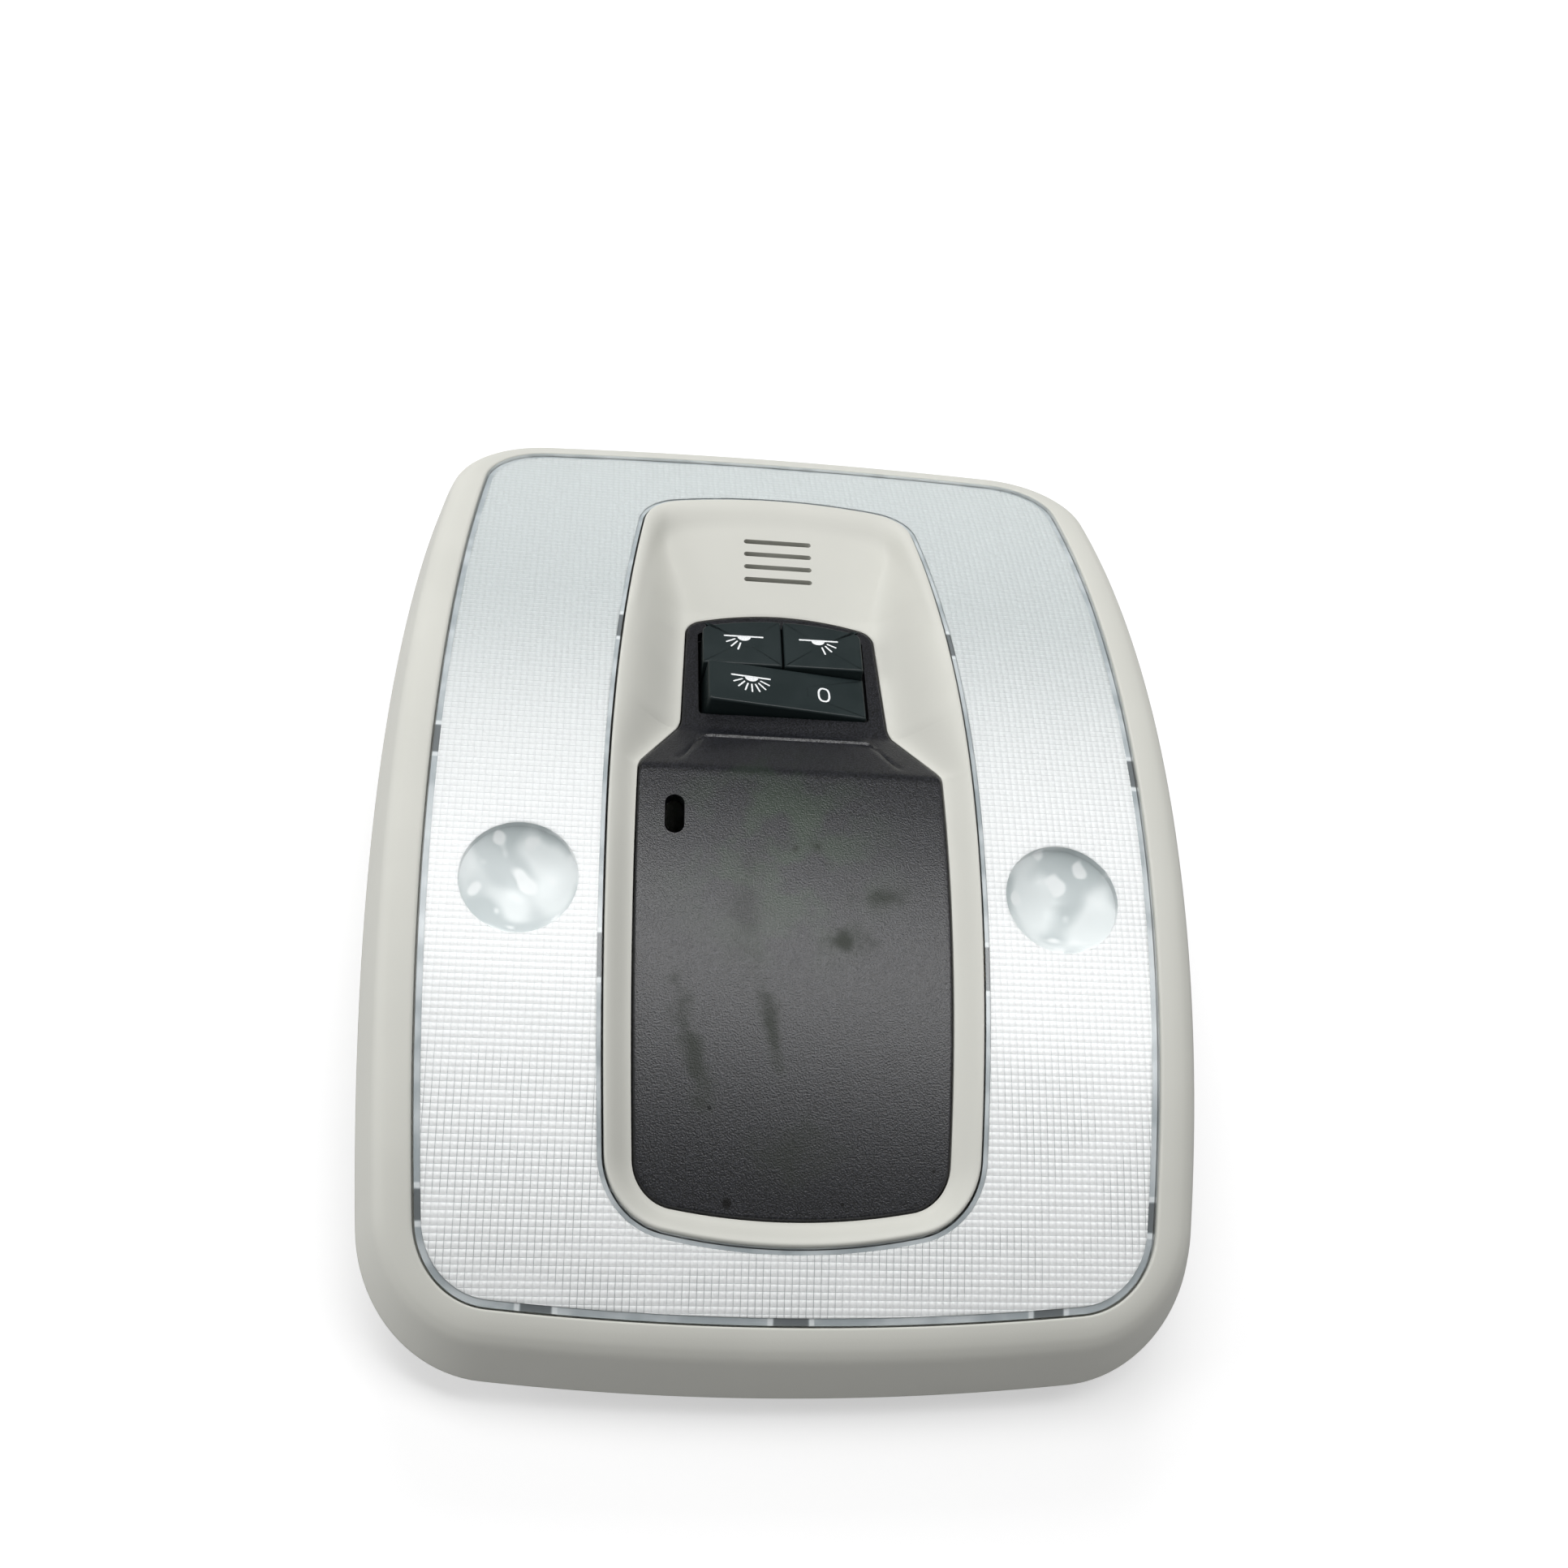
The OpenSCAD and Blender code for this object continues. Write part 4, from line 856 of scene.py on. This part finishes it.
def make_rocker():
    half = KEYS_HALF_W - 0.3
    p = np.array([[-half, -ROCKER_L / 2], [half, -ROCKER_L / 2], [half, ROCKER_L / 2],
                  [-half, ROCKER_L / 2]])
    p = resampled(rounded(p, [0.9, 0.3, 0.3, 0.5]), 1.0)
    piece = cap_piece("rocker_cap", p, -2.2, ROCKER_TOP, 0.5, MATERIALS["black_key"])
    outward(piece)
    sharpen(piece, 40)
    turned(piece, rocker_matrix())
    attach(piece, "rocker_body")
    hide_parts("rocker")


make_rocker()


# Printed signs: flat shapes just above the key tops
SIGN_LIFT, SIGN_T = 0.012, 0.012


def stroke(a, b, width, steps=6):
    """Outline of a bar with round ends from a to b."""
    a, b = np.array(a, float), np.array(b, float)
    t = math.atan2(*(b - a)[::-1])
    r = width / 2
    far = [b + r * np.array([math.cos(t + s), math.sin(t + s)])
           for s in np.linspace(-math.pi / 2, math.pi / 2, steps)]
    near = [a - r * np.array([math.cos(t + s), math.sin(t + s)])
            for s in np.linspace(-math.pi / 2, math.pi / 2, steps)]
    return np.array(far + near)


def lamp_sign(rays):
    """Bar with a half dome below it and rays, around the bar's middle."""
    shapes = [stroke((-3.95, 0), (3.95, 0), 0.4)]
    a = np.linspace(math.pi, 2 * math.pi, 15)
    shapes.append(np.column_stack([0.1 + 1.4 * np.cos(a), -0.1 + 1.15 * np.sin(a)]))
    return shapes + [stroke(s, e, 0.34) for s, e in rays]


# Start and end of each ray, from the left
RAYS = [((-1.85, -0.88), (-3.55, -1.75)), ((-1.38, -1.5), (-2.6, -2.95)),
        ((-0.68, -1.98), (-1.22, -3.75)), ((0.12, -2.1), (0.2, -4.0)), ((0.9, -1.96), (1.72, -3.75)),
        ((1.6, -1.56), (2.95, -3.0)), ((2.02, -0.9), (3.75, -1.75))]


def ring_sign(centre, half_w, half_h, width, steps=40):
    """Outer and inner outline of a round-cornered 0."""
    a = np.arange(steps) * 2 * math.pi / steps
    power = 0.8

    def oval(w, h):
        c, s = np.cos(a), np.sin(a)
        return np.column_stack([centre[0] + w * np.sign(c) * np.abs(c) ** power,
                                centre[1] + h * np.sign(s) * np.abs(s) ** power])

    return oval(half_w, half_h), oval(half_w - width, half_h - width)


def sign_piece(name, shapes, rings, height, matrix, body):
    """Thin plates over filled shapes and rings, in a key's own axes."""
    points, faces = [], []
    for shape in shapes:
        k = len(points)
        n = len(shape)
        for z in (height + SIGN_LIFT, height + SIGN_LIFT + SIGN_T):
            points += [(x, y, z) for x, y in shape]
        faces += [tuple(range(k, k + n))[::-1], tuple(range(k + n, k + 2 * n))]
        faces += [(k + i, k + (i + 1) % n, k + n + (i + 1) % n, k + n + i) for i in range(n)]
    for outer, inner in rings:
        k, n = len(points), len(outer)
        lows = height + SIGN_LIFT
        for ring, z in ((outer, lows), (outer, lows + SIGN_T), (inner, lows + SIGN_T), (inner, lows)):
            points += [(x, y, z) for x, y in ring]
        faces += [tuple(k + v for v in f) for f in ring_faces(4, n)]
    piece = add_mesh(name, points, faces, SIGN_WHITE, smooth=False)
    outward(piece)
    turned(piece, matrix)
    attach(piece, body)
    return piece


def placed(shapes, spot, flip=1):
    return [np.asarray(s) * [flip, 1] + spot for s in shapes]


SIGN_V = 6.2
sign_piece("left_sign", placed(lamp_sign(RAYS[:3]), (-8.1, SIGN_V)), [], KEY_RISE,
           field_matrix(), "left_key_body")
sign_piece("right_sign", placed(lamp_sign(RAYS[:3]), (7.6, SIGN_V), -1), [], KEY_RISE,
           field_matrix(), "right_key_body")
sign_piece("rocker_signs", placed(lamp_sign(RAYS), (-7.6, 1.9)),
           [ring_sign((7.6, -0.4), 1.32, 1.95, 0.4)], ROCKER_TOP, rocker_matrix(), "rocker_body")


# Prism field just under the lens's outer face
CELL = 1.25
PRISM_DEPTH, PRISM_RISE, GROOVE = 0.75, 0.17, 0.13
BAND = 1.2


def inside(points, edge):
    """Which points lie in a closed outline."""
    x, y = points[:, 0], points[:, 1]
    found = np.zeros(len(points), bool)
    for (x0, y0), (x1, y1) in zip(edge, np.roll(edge, -1, 0)):
        if y0 == y1:
            continue
        hit = (y0 > y) != (y1 > y)
        found ^= hit & (x < x0 + (y - y0) * (x1 - x0) / (y1 - y0))
    return found


def nearest_on(edge, spacing=0.15):
    """Lookup of the closest point of an outline."""
    dense = resampled(edge, spacing)
    tree = KDTree(len(dense))
    for k, q in enumerate(dense):
        tree.insert((q[0], q[1], 0), k)
    tree.balance()
    return lambda x, y: tree.find((x, y, 0))[0][:2]


def make_prisms():
    # Along the console the cells are spaced on the crown's arc
    nx, ns = int(LENS_HALF_W / CELL), int(LENS_HALF_L / CELL) + 2
    i, j = np.meshgrid(np.arange(-nx - 1, nx + 1), np.arange(-ns, ns), indexing="ij")
    i, j = i.ravel(), j.ravel()
    outer_edge, inner_edge = lens_outline(-BAND), trim_outline(BAND)
    # A cell is kept when any of its corners lies in the field
    keep = np.zeros(len(i), bool)
    for u in (0.02, 0.98):
        for v in (0.02, 0.98):
            at = np.column_stack([(i + u) * CELL, CROWN_R * np.sin((j + v) * CELL / CROWN_R)])
            clear = inside(at, outer_edge) & ~inside(at, inner_edge)
            for side in (-1, 1):
                clear &= np.hypot(at[:, 0] - side * EYE_X, at[:, 1] - EYE_Y) > EYE_R
            keep |= clear
    i, j = i[keep], j[keep]
    to_outer, to_inner = nearest_on(outer_edge), nearest_on(inner_edge)
    marks = [0, GROOVE, 1 - GROOVE, 1]
    lift = [0, PRISM_RISE, PRISM_RISE, 0]
    index, flat, uv, rises, faces = {}, [], [], [], []

    def corner(a, b, u, v):
        key = (a * 3 + u, b * 3 + v)
        if key not in index:
            index[key] = len(flat)
            fx, fs = a + marks[u], b + marks[v]
            flat.append((fx * CELL, CROWN_R * math.sin(fs * CELL / CROWN_R)))
            uv.append((fx, fs))
            rises.append(min(lift[u], lift[v]))
        return index[key]

    for a, b in zip(i.tolist(), j.tolist()):
        for u in range(3):
            for v in range(3):
                faces.append((corner(a, b, u, v), corner(a, b, u + 1, v),
                              corner(a, b, u + 1, v + 1), corner(a, b, u, v + 1)))
    # Corners past an edge or a window's rim move onto it
    flat = np.array(flat)
    for k in np.nonzero(~inside(flat, outer_edge))[0]:
        flat[k] = to_outer(*flat[k])
    for k in np.nonzero(inside(flat, inner_edge))[0]:
        flat[k] = to_inner(*flat[k])
    for side in (-1, 1):
        off = flat - (side * EYE_X, EYE_Y)
        d = np.hypot(off[:, 0], off[:, 1])
        hit = d < EYE_R
        flat[hit] = off[hit] * (EYE_R / d[hit])[:, None] + (side * EYE_X, EYE_Y)
    points = np.column_stack([flat, crown_z(flat[:, 1], PRISM_DEPTH) + rises])
    piece = add_mesh("prism_field", points, faces, PRISMS, uv=uv)
    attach(piece, "root")


make_prisms()


def edge_material(name, windows, along_x):
    """Smooth lens edge in the painted shade of the ledge seen through it, darker at the snap hooks with
    a light spot at either end.
    """
    s = Shade(name)
    where = s.node("ShaderNodeSeparateXYZ", Vector=s.place)
    dark, light = 0.0, 0.0
    for axis, spots in ((1, windows), (0, along_x)):
        for centre, half in spots:
            off = s.math("ABSOLUTE", s.math("SUBTRACT", where.outputs[axis], centre * MM))
            hit = s.ramp(off, (half + 0.2) * MM, (half - 0.2) * MM)
            rim = s.math("MULTIPLY", s.ramp(off, (half + 1.2) * MM, (half + 0.8) * MM),
                         s.ramp(off, half * MM, (half + 0.3) * MM))
            if axis == 0:
                low = s.ramp(where.outputs[1], -0.09, -0.094)
                hit, rim = s.math("MULTIPLY", hit, low), s.math("MULTIPLY", rim, low)
            dark, light = s.math("MAXIMUM", hit, dark), s.math("MAXIMUM", rim, light)
    patches = s.ramp(s.noise(7.0, 2.0), 0.35, 0.65)
    # Grey-blue painted shade: the shaded ledge as seen through the clear edge
    base = s.mix(patches, linear(174, 182, 186), linear(206, 212, 215))
    base = s.mix(dark, base, linear(116, 121, 124))
    base = s.mix(light, base, linear(232, 236, 238))
    p = s.node("ShaderNodeBsdfPrincipled", Base_Color=base, Roughness=0.3)
    return s.finish(p.outputs[0])


# Snap hook places as centre and half length: by y on the sides, by x at the near end
OUTER_HOOKS = ((4.0, 3.0), (-80.0, 2.4))
NEAR_HOOKS = ((-43.0, 2.6), (0.0, 3.0), (45.0, 2.6))
INNER_HOOKS = ((35.0, 3.0), (-38.0, 4.0))


def make_edge_bands():
    """The smooth edge of the lens outside its prisms, seen through the clear face, in painted shade."""
    outer = edge_material("outer_edge", OUTER_HOOKS, NEAR_HOOKS)
    inner = edge_material("inner_edge", INNER_HOOKS, ())
    for name, near, far, material in (
            ("outer_edge_band", lens_outline(-0.1), lens_outline(-3.6), outer),
            ("inner_edge_band", trim_outline(3.6), trim_outline(0.4), inner)):
        rows = [np.column_stack([p, crown_z(p[:, 1], d)]) for p, d in
                ((near, 0.9), (far, 0.9), (far, 1.1), (near, 1.1))]
        piece = ring_piece(name, rows, material)
        outward(piece)
        sharpen(piece, 40)
        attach(piece, "root")


make_edge_bands()


def eye_ring(side, r, depth):
    """Circle round a reading window's middle, at a depth below the crown."""
    turn = np.linspace(0, 2 * math.pi, 97)[:-1]
    p = np.column_stack([side * EYE_X + r * np.cos(turn), EYE_Y + r * np.sin(turn)])
    return np.column_stack([p, crown_z(p[:, 1], depth)])


def make_dishes():
    """Dish close under each reading window, over the bulb, with painted reflections."""
    rim_r, rim_depth, low_depth, wall = 10.75, 2.3, 9.6, 0.5
    for side, name in ((-1, "left_dish"), (1, "right_dish")):
        rows = []
        for r in np.linspace(0.02, rim_r, 22):
            rows.append(eye_ring(side, r, low_depth + (rim_depth - low_depth) * (r / rim_r) ** 2))
        rows += [row - (0, 0, wall) for row in rows[::-1]]
        piece = ring_piece(name, rows, MATERIALS["pearly"])
        outward(piece)
        sharpen(piece, 50)
        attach(piece, "root")
        # Smooth band where the prisms end, through the rest of the lens's thickness, with the same
        # painted reflections
        rows = [eye_ring(side, r, depth) for r, depth in
                ((EYE_R, PRISM_DEPTH), (EYE_R, LENS_T), (EYE_R + wall, LENS_T),
                 (EYE_R + wall, PRISM_DEPTH))]
        band = ring_piece(name.replace("dish", "window_band"), rows, MATERIALS["pearly"])
        outward(band)
        sharpen(band, 50)
        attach(band, "root")


make_dishes()


# Floor, lights and camera
def make_floor():
    """Pale floor that the camera sees a little lighter than it is lit."""
    s = Shade("floor")
    ray = s.node("ShaderNodeLightPath").outputs["Is Camera Ray"]
    base = s.mix(s.noise(300.0, 1.0), (0.61, 0.61, 0.615, 1), (0.63, 0.63, 0.63, 1))
    diffuse = s.node("ShaderNodeBsdfDiffuse", Color=base)
    glow = s.node("ShaderNodeEmission", Color=(1, 1, 1, 1), Strength=s.math("MULTIPLY", ray, 0.47))
    both = s.tree.nodes.new("ShaderNodeAddShader")
    s.tree.links.new(diffuse.outputs[0], both.inputs[0])
    s.tree.links.new(glow.outputs[0], both.inputs[1])
    material = s.finish(both.outputs[0])
    size = 1500.0
    corners = [(-size, -size, 0), (size, -size, 0), (size, size, 0), (-size, size, 0)]
    floor = add_mesh("floor", corners, [(0, 1, 2, 3)], material)


make_floor()


def make_world():
    """White behind the floor, soft light on the object, and a brighter room for the mirrors."""
    world = bpy.data.worlds.new("studio")
    bpy.context.scene.world = world
    world.use_nodes = True
    world.cycles.sampling_method = "NONE"
    tree = world.node_tree
    tree.nodes.clear()
    out = tree.nodes.new("ShaderNodeOutputWorld")
    path = tree.nodes.new("ShaderNodeLightPath")
    sky = tree.nodes.new("ShaderNodeBackground")

    def blend(share, a, b):
        made = tree.nodes.new("ShaderNodeMix")
        for k, v in ((0, share), (2, a), (3, b)):
            if isinstance(v, bpy.types.NodeSocket):
                tree.links.new(v, made.inputs[k])
            else:
                made.inputs[k].default_value = v
        return made.outputs[0]

    # A shiny ray that came through the clear lens has passed its two faces twice
    deep = tree.nodes.new("ShaderNodeMath")
    deep.operation = "GREATER_THAN"
    tree.links.new(path.outputs["Transparent Depth"], deep.inputs[0])
    deep.inputs[1].default_value = 2.5
    shiny = blend(deep.outputs[0], 0.16, 0.8)
    strength = blend(path.outputs["Is Glossy Ray"], 0.2, shiny)
    strength = blend(path.outputs["Is Camera Ray"], strength, 1.0)
    tree.links.new(strength, sky.inputs["Strength"])
    sky.inputs["Color"].default_value = (1, 1, 1, 1)
    tree.links.new(sky.outputs[0], out.inputs["Surface"])


make_world()


def area_light(name, spot, size, power, mirrored_too=True):
    """Lamp in metres and watts that faces the light's middle."""
    aim = Vector((0, 0, 0.03))
    data = bpy.data.lights.new(name, "AREA")
    data.shape, data.size, data.size_y, data.energy = "RECTANGLE", size[0], size[1], power
    lamp = bpy.data.objects.new(name, data)
    lamp.visible_glossy = mirrored_too
    lamp.location = spot
    lamp.rotation_mode = "QUATERNION"
    lamp.rotation_quaternion = (aim - Vector(spot)).to_track_quat("-Z", "Y")
    bpy.context.scene.collection.objects.link(lamp)


# The key light shows as the soft band on the black panel, the back one isn't mirrored
area_light("key_light", (0.05, 0.13, 1.0), (1.1, 0.3), 6.4)
area_light("back_fill", (0, 0.8, 0.65), (0.6, 0.5), 4.0, False)
area_light("left_fill", (-0.95, 0, 0.33), (0.6, 0.6), 4.0)


def make_camera():
    """Camera solved from the photo: its right, down and forward directions."""
    rows = [[0.99158812, -0.02162068, 0.12761482],
            [0.04945571, -0.84785099, -0.52792314],
            [0.11961240, 0.52979359, -0.83964970]]
    data = bpy.data.cameras.new("camera")
    data.lens, data.sensor_width = 37.70, 36.0
    data.clip_start, data.clip_end = 0.01, 10.0
    camera = bpy.data.objects.new("camera", data)
    right, down, ahead = (Vector(r) for r in rows)
    turn = Matrix((right, -down, -ahead)).transposed().to_4x4()
    camera.matrix_world = Matrix.Translation(Vector((-39.029, -167.122, 307.206)) * MM) @ turn
    bpy.context.scene.collection.objects.link(camera)
    bpy.context.scene.camera = camera


make_camera()
bpy.context.scene.view_settings.view_transform = "Standard"
